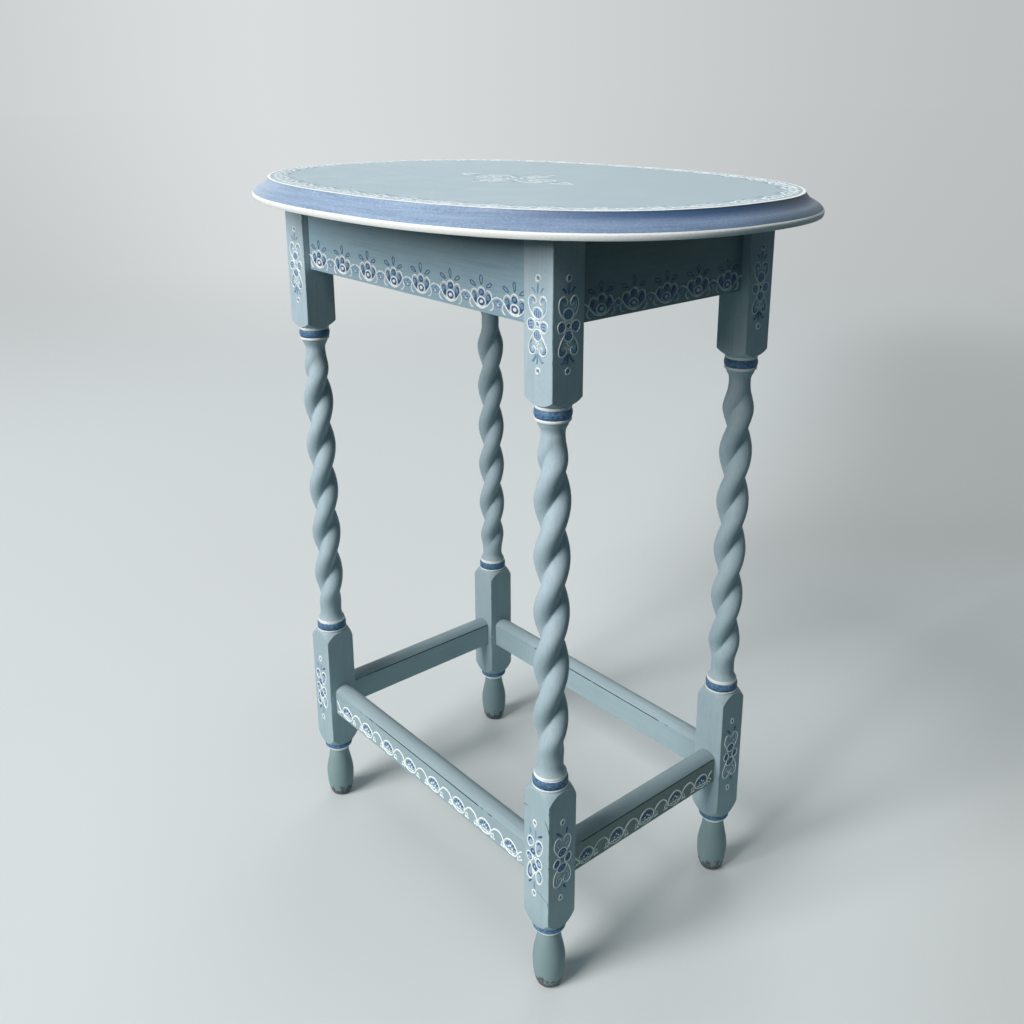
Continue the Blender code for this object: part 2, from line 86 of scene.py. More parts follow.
# The legs, as the solids have them
LEG_CENTRES = (185.6 * MM, 119.2 * MM)
LEG_ARRIS = 0.9 * MM
FOOT_HEIGHT = 62 * MM
FOOT_BASE_RADIUS = 8.5 * MM
FOOT_RADIUS = 15.5 * MM
FOOT_WIDEST_HEIGHT = 29 * MM
FOOT_NECK_RADIUS = 10.9 * MM
BOTTOM_BLOCK = (85 * MM, 209.9 * MM)
TOP_BLOCK_LOW = 580.5 * MM
SHOULDER_SWELL = 0.7 * MM
ANKLE_SHOULDER = (72.5 * MM, 15.7 * MM)      # heights and radii where a turned shoulder begins or ends
KNEE_SHOULDER = (221.2 * MM, 15 * MM)
NECK_SHOULDER = (573.5 * MM, 14.1 * MM)
KNEE_COVE = (234 * MM, 14.4 * MM)
NECK_FLARE = (556.5 * MM, 12.4 * MM)
NECK_FILLET = (560.5 * MM, 13.9 * MM)
COVE_DEPTH = 0.8 * MM
KNEE_RADIUS = 11.7 * MM
NECK_RADIUS = 10.2 * MM
TWIST_LOW = 243 * MM
TWIST_HIGH = 548 * MM
TWIST_PITCH = 101.4 * MM
TWIST_RUN_OUT = 32 * MM
STRAND_RADIUS = 9.9 * MM
STRAND_OFFSET = 5.6 * MM
VALLEY_ROUNDING = 0.09
TWIST_TURNS = {"leg_front_left": 79, "leg_front_right": 69, "leg_back_left": 174, "leg_back_right": 108}

# The rails
RAIL_ROUNDING = 0.7 * MM
TENON_LENGTH = 11.55 * MM
TENON_GAP = 0.3 * MM
ARCH_RISE = 5.5 * MM
STRETCHER_EASE = 0.8 * MM

CAMERA_PLACE = (0.7753, -0.6630, 0.8190)
CAMERA_YAW = 2.4375
CAMERA_PITCH = -0.2938
CAMERA_ROLL = -0.0040
CAMERA_RIGHT = (sin(CAMERA_YAW), -cos(CAMERA_YAW), 0)
FOCAL_PIXELS = 1055.2
OPTICAL_AXIS_ROW = 400.0
PICTURE = 1024
SENSOR = 36


# Colour and material nodes

def linear(hex_colour):
    channels = [int(hex_colour[i:i + 2], 16) / 255 for i in (1, 3, 5)]
    return tuple(c / 12.92 if c <= 0.04045 else ((c + 0.055) / 1.055) ** 2.4 for c in channels) + (1.0,)


def add_node(tree, kind, inputs=None, **settings):
    """Add a shader node; inputs gives a value, or another node's output, for each of its sockets."""
    added = tree.nodes.new("ShaderNode" + kind)
    for name, value in settings.items():
        setattr(added, name, value)
    for socket, value in (inputs or {}).items():
        if isinstance(value, bpy.types.NodeSocket):
            tree.links.new(value, added.inputs[socket])
        else:
            added.inputs[socket].default_value = value
    return added


def stretched_noise(place, grain, detail=3.0, rough=0.55):
    """Noise whose marks measure grain = (x, y, z) metres, or the same in all directions."""
    grain = grain if isinstance(grain, tuple) else (grain, grain, grain)
    tree = place.id_data
    scaled = add_node(tree, "Mapping", {"Vector": place, "Scale": tuple(1 / size for size in grain)})
    return add_node(tree, "TexNoise", {"Vector": scaled.outputs[0], "Scale": 1.0, "Detail": detail,
                                       "Roughness": rough}).outputs[0]


def remap(value, low, high, out_low=0.0, out_high=1.0):
    sockets = {"Value": value, "From Min": low, "From Max": high, "To Min": out_low, "To Max": out_high}
    return add_node(value.id_data, "MapRange", sockets, interpolation_type="SMOOTHSTEP").outputs[0]


def maths(operation, first, second=0.0):
    return add_node(first.id_data, "Math", {0: first, 1: second}, operation=operation).outputs[0]


def reach_along(place, direction):
    """How far a place lies in a direction."""
    sockets = {0: place, 1: direction}
    return add_node(place.id_data, "VectorMath", sockets, operation="DOT_PRODUCT").outputs["Value"]


def coordinates(place):
    """The sockets with the X, Y and Z of a place."""
    return add_node(place.id_data, "SeparateXYZ", {0: place}).outputs


def blend_colour(factor, first, second):
    return add_node(factor.id_data, "Mix", {0: factor, 6: first, 7: second}, data_type="RGBA").outputs[2]


def lay_over(colour, *layers):
    """Lay colours over one another; each layer says how far it covers, and its colour."""
    for cover, over in layers:
        colour = blend_colour(cover, colour, linear(over))
    return colour


def start_material(name, roughness, level=0.5, metal=0.0):
    material = bpy.data.materials.new(name)
    material.use_nodes = True
    shader = material.node_tree.nodes["Principled BSDF"]
    for socket, value in (("Roughness", roughness), ("Specular IOR Level", level), ("Metallic", metal)):
        shader.inputs[socket].default_value = value
    return material, add_node(material.node_tree, "TexCoord").outputs["Object"]


def finish_material(material, colour, marks=None, strength=0.0, depth=0.0):
    """Give a material its colour, and the relief of its marks where it has any."""
    tree = material.node_tree
    shader = tree.nodes["Principled BSDF"]
    tree.links.new(colour, shader.inputs["Base Color"])
    if marks:
        relief = add_node(tree, "Bump", {"Strength": strength, "Distance": depth, "Height": marks})
        tree.links.new(relief.outputs[0], shader.inputs["Normal"])
    return material


# Chalk paint brushed on by hand dries dead flat, with faint ridges along the brush and cloudy patches
BRUSH_LENGTH = 70 * MM
BRISTLE = 1.6 * MM
STREAK = (110 * MM, 6 * MM)
CLOUD = 45 * MM
MOTTLE = 2.4 * MM
SHADED_CORNER = (0.65, 0.76, 0)        # from the middle of the top towards where painted shade on the top and its edge is deepest


def grain_along(axis, length=BRUSH_LENGTH, width=BRISTLE):
    return tuple(length if i == "XYZ".index(axis) else width for i in range(3))


def chalk_paint(name, axis, wear_and_shade=None, coat="#B2C4CD", thin="#93A9B3", chalky="#BFCED5", grubby_and_shaded="#7D9092"):
    """Chalk paint brushed along an axis; wear_and_shade(place, colour) adds what only some pieces have: worn
    corners with a painted highlight on the legs, painted shade on the top.
    """
    material, place = start_material(name, 0.62, 0.35)
    height = coordinates(place)[2]
    bristles = stretched_noise(place, grain_along(axis))
    cloud = stretched_noise(place, CLOUD, 4.0)
    streaks = stretched_noise(place, grain_along(axis, *STREAK), 2.0)
    mottle = stretched_noise(place, MOTTLE, 4.0, 0.7)
    # Darker low down: grime on the feet, and higher up painted shade for the light that falls off towards the
    # floor
    grime_and_painted_shade = maths("ADD", remap(height, 30 * MM, 100 * MM, 0.7, 0),
                  remap(height, 80 * MM, 600 * MM, 0.4, 0))
    colour = lay_over(linear(coat),
                      (remap(bristles, 0.42, 0.75, 0, 0.4), thin),
                      (remap(mottle, 0.5, 0.75, 0, 0.45), thin),
                      (remap(cloud, 0.45, 0.7, 0, 0.45), chalky),
                      (remap(streaks, 0.55, 0.75, 0, 0.3), thin),
                      (grime_and_painted_shade, grubby_and_shaded))
    if wear_and_shade:
        colour = wear_and_shade(place, colour)
    return finish_material(material, colour, maths("ADD", bristles, mottle), 0.45, 0.2 * MM)


def leg_wear_and_highlight(place, colour):
    split = coordinates(place)
    # Long corners paler here, a painted highlight on the rounded corner, and worn thin and darker there, with
    # a few dark nicks
    beside = [maths("ABSOLUTE", maths("SUBTRACT", maths("ABSOLUTE", way), centre))
              for way, centre in zip(split, LEG_CENTRES)]
    arris = remap(maths("MINIMUM", *beside), 15.9 * MM, 16.5 * MM)
    rubbed_and_highlight = stretched_noise(place, (14 * MM, 14 * MM, 26 * MM), 4.0)
    nicks = stretched_noise(place, (3 * MM, 3 * MM, 6 * MM), 3.0)
    for cover, over in ((remap(rubbed_and_highlight, 0.35, 0.6, 0.6, 0), "#C6D3D8"),
                        (remap(rubbed_and_highlight, 0.5, 0.62, 0, 0.7), "#5E7177"),
                        (remap(nicks, 0.64, 0.67), "#4A484B")):
        colour = lay_over(colour, (maths("MULTIPLY", arris, cover), over))
    # Worn through to dark wood where the feet drag on the floor
    edge = stretched_noise(place, (6 * MM, 6 * MM, 9 * MM), 5.0, 0.7)
    edge_height = maths("ADD", split[2], remap(edge, 0.3, 0.7, -6 * MM, 6 * MM))
    pores = stretched_noise(place, 1.5 * MM)
    bare = lay_over(linear("#4A464B"), (remap(pores, 0.4, 0.65), "#6C7175"))
    return blend_colour(remap(edge_height, 10.5 * MM, 11.5 * MM, 1, 0), colour, bare)


def top_painted_shade(place, colour):
    # Painted shade: the top's coat darkens towards the corner away from the light
    shade_towards_corner = remap(reach_along(place, SHADED_CORNER), -200 * MM, 260 * MM, 0, 0.9)
    return lay_over(colour, (shade_towards_corner, "#9AABB3"))


def band_paint(name, coat, thin, roughness=0.5):
    """Paint of a ring or stroke: a thin coat, worn at its high places."""
    material, place = start_material(name, roughness, 0.35)
    marks = stretched_noise(place, (3 * MM, 3 * MM, 1.1 * MM), 4.0, 0.7)
    colour = lay_over(linear(coat), (remap(marks, 0.36, 0.66), thin))
    return finish_material(material, colour, marks, 0.2, 0.1 * MM)


def worn_line_paint(axis):
    """A long corner where the coat has cracked dark, most of all half way along, and holds elsewhere."""
    material, place = start_material("cracked_coat_along_corner_" + axis.lower(), 0.7, 0.3)
    long_way = stretched_noise(place, 90 * MM, 1.0)
    short_way = stretched_noise(place, grain_along(axis, 9 * MM, 3 * MM), 3.0)
    along = coordinates(place)["XY".index(axis)]
    off_middle = maths("ABSOLUTE", maths("SUBTRACT", along, 15 * MM))
    spread = remap(off_middle, 60 * MM, 150 * MM, 0.32, -0.3)
    cracked = remap(maths("ADD", maths("ADD", long_way, short_way), spread), 0.96, 1.1)
    return finish_material(material, lay_over(linear("#8DA2AA"), (cracked, "#27363C")))


def round_edge_place(place):
    """Coordinates that run round the oval and out across its edge, so that streaks follow the edge."""
    split, tree = coordinates(place), place.id_data
    shares = [maths("DIVIDE", split[i], size / 2) for i, size in enumerate((TOP_LENGTH, TOP_WIDTH))]
    powers = [maths("POWER", maths("ABSOLUTE", share), TOP_SQUARENESS) for share in shares]
    out = maths("POWER", maths("ADD", *powers), 1 / TOP_SQUARENESS)
    flat = add_node(tree, "CombineXYZ", dict(enumerate(shares))).outputs[0]
    heading = add_node(tree, "VectorMath", {0: flat}, operation="NORMALIZE").outputs[0]
    round_about = coordinates(heading)
    ways = [maths("MULTIPLY", way, 250 * MM) for way in (round_about[0], round_about[1], out)]
    return add_node(tree, "CombineXYZ", dict(enumerate(ways))).outputs[0]


def cornflower_paint():
    """Blue glaze dragged round the sloping edge with a dry brush, so the white under it shows in streaks."""
    material, on_edge = start_material("cornflower_glaze_on_edge", 0.5, 0.4)
    place = round_edge_place(on_edge)
    drag, broad, specks, weave = (
        stretched_noise(place, (length * MM, length * MM, width * MM), detail, rough)
        for length, width, detail, rough in ((45, 0.9, 4.0, 0.6), (90, 3, 3.0, 0.55), (5, 0.8, 4.0, 0.75),
                                             (2.2, 1.1, 3.0, 0.8)))
    # Painted shade: the blue is darker towards one end, most of all in the cove, and greyer at the far
    # corner; painted light makes it paler at the other end
    split = coordinates(on_edge)
    hollow = remap(split[2], TABLE_HEIGHT - 9 * MM, TABLE_HEIGHT - 3 * MM, 0.45, 1)
    glaze_shade = maths("MULTIPLY", remap(split[0], 90 * MM, 280 * MM, 0, 0.95), hollow)
    colour = lay_over(linear("#6C839F"),
                      (remap(drag, 0.35, 0.7), "#8CA1BD"),
                      (remap(broad, 0.4, 0.7, 0, 0.5), "#97AAC6"),
                      (remap(weave, 0.4, 0.65, 0, 0.5), "#A9BAD1"),
                      (remap(specks, 0.6, 0.7, 0, 0.75), "#CCD7E8"),
                      (glaze_shade, "#365279"),
                      (remap(split[0], -260 * MM, -60 * MM, 0.6, 0), "#CBD5DF"),
                      (remap(reach_along(on_edge, SHADED_CORNER), 150 * MM, 225 * MM, 0, 0.6), "#4E5A64"))
    return finish_material(material, colour, drag, 0.3, 0.15 * MM)


def wood(name, light, dark, axis, roughness=0.6, ring=7 * MM):
    """Sawn wood: long growth rings and short dark pores along the grain."""
    material, place = start_material(name, roughness, 0.3)
    rings = stretched_noise(place, grain_along(axis, 260 * MM, ring), 3.0)
    pores = stretched_noise(place, grain_along(axis, 9 * MM, 0.5 * MM), 2.0)
    colour = lay_over(linear(light), (remap(rings, 0.35, 0.65), dark),
                      (remap(pores, 0.6, 0.7, 0, 0.5), dark))
    return finish_material(material, colour, pores, 0.3, 0.1 * MM)


def steel():
    """Bright-zinced screw steel, a little dulled."""
    material, place = start_material("zinced_screw_steel", 0.35, metal=1.0)
    haze = stretched_noise(place, 2 * MM)
    return finish_material(material, lay_over(linear("#9C9C98"), (haze, "#B9B9B4")))


# Coats: the first colour is the coat, then where it is thin, where chalky, and where grime and painted shade
# darken it low down
LEG_COAT = chalk_paint("chalk_paint_on_turned_legs", "Z", leg_wear_and_highlight)
TOP_COAT = chalk_paint("chalk_paint_on_top", "X", top_painted_shade, "#ADBEC6", "#8FA3AC", "#BAC8CE", "#AEBFC7")
APRON_COAT = chalk_paint("blue_green_chalk_paint_on_rails", "X", None, "#9FBAC8", "#7F9BAA", "#AABFC7")
LEFT_COAT = chalk_paint("chalk_paint_brushed_along_y", "Y")
# The stretchers' coat is darker than the legs': painted shade for the shadow of the top on them
STRETCHER_COATS = {axis: chalk_paint("dusty_chalk_paint_brushed_along_" + axis.lower(), axis, None,
                                     "#A5B8C0", "#879DA6", "#AFBFC6") for axis in "XY"}
# Painted shade: on the side of the table that stands in shade, the rail and the stretcher's outer face take
# darker grey-green coats
SHADED_RAIL_COAT = chalk_paint("chalk_paint_with_painted_shade_on_one_rail", "Y", None,
                          "#80989F", "#667F86", "#8CA2A9", "#5C6A6B")
SHADED_STRETCHER_SIDE = chalk_paint("chalk_paint_with_painted_shade_on_one_stretcher", "Y", None,
                         "#8A9896", "#6F7E7D", "#96A5A5", "#66706C")
WORN_LINE = {axis: worn_line_paint(axis) for axis in "XY"}
CORNFLOWER = cornflower_paint()

# Rings and lines on the turned parts and round the top, then brushwork: white, dark, paler and palest blue
WHITE_LINE = band_paint("white_chalk_paint_line", "#F5F5F3", "#E9EAE8", 0.55)
BAND_BLUE = band_paint("blue_chalk_paint_ring", "#6488A6", "#2C4D73", 0.55)
BRUSH_WHITE = band_paint("white_brush_line", "#F8F9F8", "#EAEEEE")
BRUSH_BLUE = band_paint("deep_blue_brush_dab", "#3C5F88", "#2A4A78")
BRUSH_PALE = band_paint("grey_blue_brush_dab", "#86A3BD", "#6C8CAB")
BRUSH_SKY = band_paint("sky_blue_brush_shading", "#A3BCD1", "#8AA8C2")
# The lace on top is greyer and fainter than the rest
LACE_WHITE = band_paint("white_lace_line", "#E6EAEA", "#D3DBDD")
BRUSH_LACE = band_paint("slate_blue_lace_dab", "#7D96A8", "#667F94")
BRUSH_FAINT = band_paint("grey_green_brush_dab", "#9DB2B6", "#8CA5AC")
CRACK = band_paint("dirt_in_crack", "#3C474B", "#2A3337", 0.8)

BARE_OAK = wood("bare_stained_oak", "#8A6A4A", "#6A4C33", "X")
RAW_BEECH = wood("raw_beech_dowel", "#C7A67F", "#B08C66", "X", 0.65, 3 * MM)
RAW_OAK = wood("sawn_oak_block", "#B08A62", "#8E6A48", "Z")
SCREW_STEEL = steel()


# Mesh helpers

def mesh_from(bm, name):
    """Turn a bmesh into a mesh, and free it."""
    mesh = bpy.data.meshes.new(name)
    bm.to_mesh(mesh)
    bm.free()
    return mesh


def new_object(name, data):
    added = bpy.data.objects.new(name, data)
    bpy.context.scene.collection.objects.link(added)
    return added


def shade(mesh, smooth_to):
    """Shade smooth, but keep sharp the edges that turn by more than smooth_to degrees."""
    mesh.shade_smooth()
    mesh.set_sharp_from_angle(angle=radians(smooth_to))


def add_piece(name, bm, materials, slot, *nodes, smooth_to=30):
    """Turn a bmesh into a piece of the table that rides on the frame and stands for the named nodes."""
    bmesh.ops.recalc_face_normals(bm, faces=bm.faces)
    mesh = mesh_from(bm, name)
    for material in materials:
        mesh.materials.append(material)
    shade(mesh, smooth_to)
    piece = new_object(name, mesh)
    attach(piece, "root")
    if nodes:
        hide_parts(*nodes)
    return piece


def arc(start, end, swell, steps):
    """Points after start on a circular arc to end, which bows to the left of the way it runs."""
    chord = dist(start, end)
    along = [(end[i] - start[i]) / chord for i in (0, 1)]
    left = (-along[1], along[0])
    radius = (chord * chord / 4 + swell * swell) / (2 * swell)
    half = asin(min(1.0, chord / (2 * abs(radius))))
    points = []
    for step in range(1, steps + 1):
        angle = half * (2 * step / steps - 1)
        run = chord / 2 + abs(radius) * sin(angle)
        rise = swell - radius * (1 - cos(angle))
        points.append(tuple(start[i] + along[i] * run + left[i] * rise for i in (0, 1)))
    return points


def grow_rings(bm, count, stations, place, closed_ends=True):
    """Extrude a ring of count points through stations; place(k, station) says where point k goes.

    The bmesh is empty at the start. The last value of a station is the material slot of the faces that lead
    up to it.
    """
    spoke = bm.verts.layers.int.new("spoke")
    ring = bmesh.ops.create_circle(bm, cap_ends=False, segments=count, radius=1)["verts"]
    for k, vert in enumerate(ring):
        vert[spoke] = k
        vert.co = place(k, stations[0])
    first = edges = bm.edges[:]
    for station in stations[1:]:
        grown = bmesh.ops.extrude_edge_only(bm, edges=edges)["geom"]
        edges = [item for item in grown if isinstance(item, bmesh.types.BMEdge)]
        for item in grown:
            if isinstance(item, bmesh.types.BMVert):
                item.co = place(item[spoke], station)
        for edge in edges:
            edge.link_faces[0].material_index = station[-1]
    if closed_ends:
        for end, station in ((first, stations[0]), (edges, stations[-1])):
            for face in bmesh.ops.contextual_create(bm, geom=end)["faces"]:
                face.material_index = station[-1]
    return first, edges


def add_board(bm, low, high, rounding, segments, upright_only=False):
    """Fill an empty bmesh with a board between two corners, whose edges, or upright edges, are rounded."""
    fit = Matrix.Translation((low + high) / 2) @ Matrix.Diagonal((*(high - low), 1))
    bmesh.ops.create_cube(bm, size=1, matrix=fit)
    edges = [edge for edge in bm.edges
             if not upright_only or abs(edge.verts[0].co.z - edge.verts[1].co.z) > (high.z - low.z) / 2]
    bmesh.ops.bevel(bm, geom=edges, offset=rounding, segments=segments, affect="EDGES", profile=0.5,
                    material=-1)


def trim(piece, cutter_bm):
    """Keep only what a piece shares with another solid."""
    mesh = mesh_from(cutter_bm, "cutter")
    cutter = new_object("cutter", mesh)
    boolean = piece.modifiers.new("trim", "BOOLEAN")
    boolean.operation = "INTERSECT"
    boolean.solver = "EXACT"
    boolean.object = cutter
    graph = bpy.context.evaluated_depsgraph_get()
    trimmed = bpy.data.meshes.new_from_object(piece.evaluated_get(graph))
    piece.modifiers.clear()
    old, piece.data = piece.data, trimmed
    trimmed.name = piece.name
    bpy.data.meshes.remove(old)
    bpy.data.objects.remove(cutter)
    bpy.data.meshes.remove(mesh)


# Top

TOP_SIDES = 288
STAINED, RIM_WHITE, SLOPE_BLUE, FLAT_COAT = range(4)
ARRIS_LINE = 2.3 * MM
LEVEL_UNDERSIDE = 60 * MM           # how far in from the rim the underside has levelled out
SHAKE_SCALE = 60


def outline_point(turn, inset):
    """A point of the top's widest outline moved in by inset."""
    half_length, half_width = TOP_LENGTH / 2, TOP_WIDTH / 2
    c, s = cos(turn), sin(turn)
    size = (abs(c) ** TOP_SQUARENESS + abs(s) ** TOP_SQUARENESS) ** (1 / TOP_SQUARENESS)
    out = Vector((copysign(abs(c / size) ** (TOP_SQUARENESS - 1) / half_length, c),
                  copysign(abs(s / size) ** (TOP_SQUARENESS - 1) / half_width, s))).normalized()
    return Vector((half_length * c / size, half_width * s / size)) - out * inset


def top_stations():
    """(inset, height, wobble, slot) rings, from the middle of the underside up over the moulded edge."""
    widest = (0.0, TABLE_HEIGHT - COVE_DROP - OVOLO_DROP)
    break_line = (OGEE_WIDTH - COVE_WIDTH, TABLE_HEIGHT - COVE_DROP)
    under = (NOSE_UNDERCUT, UNDERSIDE - CUPPING)
    ovolo = arc(widest, break_line, OVOLO_SWELL, 14)
    cove = arc(break_line, (OGEE_WIDTH, TABLE_HEIGHT), -COVE_HOLLOW, 10)
    nose = [under] + arc(under, widest, NOSE_SWELL, 8) + ovolo[:1]
    return [(NOSE_UNDERCUT + LEVEL_UNDERSIDE, UNDERSIDE, 0, STAINED),
            (NOSE_UNDERCUT + 2.5 * MM, UNDERSIDE - CUPPING, 0.8, STAINED),
            *((*point, 0, RIM_WHITE) for point in nose),
            (*ovolo[1], 0.25, RIM_WHITE),
            *((*point, 0, SLOPE_BLUE) for point in ovolo[2:] + cove[:-1]),
            (OGEE_WIDTH - 0.35 * MM, TABLE_HEIGHT - 0.3 * MM, 0.15, SLOPE_BLUE),
            (OGEE_WIDTH + 0.25 * MM, TABLE_HEIGHT, 0, RIM_WHITE),
            (OGEE_WIDTH + ARRIS_LINE, TABLE_HEIGHT, 0.35, RIM_WHITE),
            (OGEE_WIDTH + 8 * MM, TABLE_HEIGHT, 0, FLAT_COAT)]


def make_top():
    def place(k, station):
        inset, height, wobble, _ = station
        turn = tau * k / TOP_SIDES
        shake = noise.noise(outline_point(turn, inset).to_3d() * SHAKE_SCALE) * wobble * MM
        return Vector((*outline_point(turn, inset + shake), height))

    bm = bmesh.new()
    grow_rings(bm, TOP_SIDES, top_stations(), place)
    coats = (BARE_OAK, WHITE_LINE, CORNFLOWER, TOP_COAT)
    add_piece("painted_top", bm, coats, "painted_top", "top", smooth_to=40)


# Legs

LEG_SPOKES = 96
FOOT_STEPS = 8
ANKLE_STEPS = 14
TWIST_STEPS = 122
BLOCK_CLEARANCE = 1 * MM            # how far the turned form reaches past the square that is cut out of it
COAT, WHITE_RING, BLUE_RING = range(3)
# Beads: lower end, upper end, widest radius and swell in millimetres, then paint and steps
ANKLE_BEAD = (62, 66, 12.3, 1.4, WHITE_RING, 7)
ANKLE_RING = (66, 72.5, 15.7, 1.1, BLUE_RING, 7)
KNEE_BEADS = ((221.2, 223, 16.4, 0.3, WHITE_RING, 4), (223, 231, 16.1, 1.1, BLUE_RING, 7),
              (231, 234, 14.8, 0.4, WHITE_RING, 5))
NECK_BEADS = ((560.5, 563, 15.2, 0.4, WHITE_RING, 5), (563, 571, 15.8, 1.1, BLUE_RING, 7),
              (571, 573.5, 15.2, 0.4, WHITE_RING, 5))


def coated(points):
    return [(*point, COAT) for point in points]


def beads(*rows):
    stations = []
    for low, high, radius, swell, slot, steps in rows:
        start, end = ((height * MM, radius * MM - swell * MM) for height in (low, high))
        stations += [(*point, slot) for point in [start] + arc(start, end, swell * MM, steps)]
    return stations


def ease(part):
    part = min(max(part, 0.0), 1.0)
    return part * part * (3 - 2 * part)


def lower_leg(half_diagonal):
    """(height, radius, slot) rings of a leg from the floor up to the twist."""
    foot = []
    for step in range(FOOT_STEPS + 1):
        part = 1 - cos(pi / 2 * step / FOOT_STEPS)
        swell = (FOOT_RADIUS - FOOT_BASE_RADIUS) * sqrt(1 - (1 - part) ** 2)
        foot.append((FOOT_WIDEST_HEIGHT * part, FOOT_BASE_RADIUS + swell))
    for step in range(1, ANKLE_STEPS + 1):
        fade = (1 + cos(pi * step / ANKLE_STEPS)) / 2
        height = FOOT_WIDEST_HEIGHT + (FOOT_HEIGHT - FOOT_WIDEST_HEIGHT) * step / ANKLE_STEPS
        foot.append((height, FOOT_NECK_RADIUS + (FOOT_RADIUS - FOOT_NECK_RADIUS) * fade))
    ankle = beads(ANKLE_RING)
    low, high = BOTTOM_BLOCK
    block = arc(ANKLE_SHOULDER, (low, half_diagonal), SHOULDER_SWELL, 8)
    block += [(low + BLOCK_CLEARANCE, half_diagonal + BLOCK_CLEARANCE),
              (high - BLOCK_CLEARANCE, half_diagonal + BLOCK_CLEARANCE), (high, half_diagonal)]
    block += arc((high, half_diagonal), KNEE_SHOULDER, SHOULDER_SWELL, 8)
    cove = arc(KNEE_COVE, (TWIST_LOW, KNEE_RADIUS), -COVE_DEPTH, 8)
    return (coated(foot) + beads(ANKLE_BEAD) + [(*station[:2], WHITE_RING) for station in ankle[:3]]
            + ankle[3:] + coated(block) + beads(*KNEE_BEADS) + coated(cove[:-1]))


def twist(turn_half_way):
    """(height, radius, offset, turn, slot) rings of the two strands, which die into round necks."""
    stations = []
    for step in range(TWIST_STEPS + 1):
        height = TWIST_LOW + (TWIST_HIGH - TWIST_LOW) * step / TWIST_STEPS
        above_middle = height - (TWIST_LOW + TWIST_HIGH) / 2
        turn = radians(turn_half_way) + tau * above_middle / TWIST_PITCH
        below, above = (height - TWIST_LOW) / TWIST_RUN_OUT, (TWIST_HIGH - height) / TWIST_RUN_OUT
        full = ease(min(below, above))
        neck = KNEE_RADIUS if below < above else NECK_RADIUS
        radius = STRAND_RADIUS + (neck - STRAND_RADIUS) * (1 - full)
        stations.append((height, radius, STRAND_OFFSET * full, turn, COAT))
    return stations


def upper_leg(half_diagonal, top):
    """(height, radius, slot) rings of a leg from the twist up, and on past its top, where it is cut off."""
    flare = arc((TWIST_HIGH, NECK_RADIUS), NECK_FLARE, -COVE_DEPTH, 7)
    shoulder = arc(NECK_SHOULDER, (TOP_BLOCK_LOW, half_diagonal), SHOULDER_SWELL, 8)
    shoulder += [(height, half_diagonal + BLOCK_CLEARANCE)
                 for height in (TOP_BLOCK_LOW + BLOCK_CLEARANCE, top + 5 * MM)]
    return coated(flare + [NECK_FILLET]) + beads(*NECK_BEADS) + coated(shoulder)


def leg_square(name):
    """The middle of a leg, half the width of its blocks, and its top."""
    low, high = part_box(name)
    return (low + high) / 2, (high.x - low.x) / 2, high.z


def make_leg(name):
    middle, half, top = leg_square(name)
    half_diagonal = half * sqrt(2)
    wound = twist(TWIST_TURNS[name])
    # The straight parts have the turn that the twist has where it dies out, so no ring is wrung
    lower, upper = ([(height, radius, 0.0, dead_end[3], slot) for height, radius, slot in rings]
                    for rings, dead_end in ((lower_leg(half_diagonal), wound[0]),
                                            (upper_leg(half_diagonal, top), wound[-1])))

    def place(k, station):
        height, radius, offset, turn, _ = station
        angle = tau * k / LEG_SPOKES
        across = sqrt(cos(angle) ** 2 + VALLEY_ROUNDING ** 2)
        reach = offset * across + sqrt(radius ** 2 - (offset * sin(angle)) ** 2)
        heading = angle + turn
        return Vector((middle.x + reach * cos(heading), middle.y + reach * sin(heading), height))

    bm = bmesh.new()
    grow_rings(bm, LEG_SPOKES, lower + wound + upper, place)
    piece = add_piece(name + "_painted", bm, (LEG_COAT, WHITE_LINE, BAND_BLUE), "painted_wood", name)
    bar = bmesh.new()
    add_board(bar, Vector((middle.x - half, middle.y - half, -20 * MM)),
              Vector((middle.x + half, middle.y + half, top)), LEG_ARRIS, 4, upright_only=True)
    trim(piece, bar)
    shade(piece.data, 29)


# Rails

SIDES = {"front": ("X", -1), "back": ("X", 1), "left": ("Y", -1), "right": ("Y", 1)}


def way_out(side_name):
    """The direction that a side of the table faces."""
    along, side = SIDES[side_name]
    return Vector((0, side, 0)) if along == "X" else Vector((side, 0, 0))


def make_apron(side_name):
    name = "apron_" + side_name
    bm = bmesh.new()
    add_board(bm, *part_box(name), RAIL_ROUNDING, 2)
    bm.normal_update()
    for face in bm.faces:
        if face.normal.dot(-way_out(side_name)) > 0.9 or face.normal.z > 0.9:
            face.material_index = 1
    # The right rail takes the darker coat as painted shade
    coat = {"left": LEFT_COAT, "right": SHADED_RAIL_COAT}.get(side_name, APRON_COAT)
    add_piece(name + "_painted", bm, (coat, BARE_OAK), "painted_wood", name)


# Where a stretcher's rounded top meets its side the coat has broken away in a fine dark line; these are
# millimetres in from the side and up from the corner
QUIRK = ((0, -0.5), (0.6, 0.1), (0.2, 0.7))
NEAR_SIDE = 0.6 * MM
NEAR_CORNER = 0.55 * MM


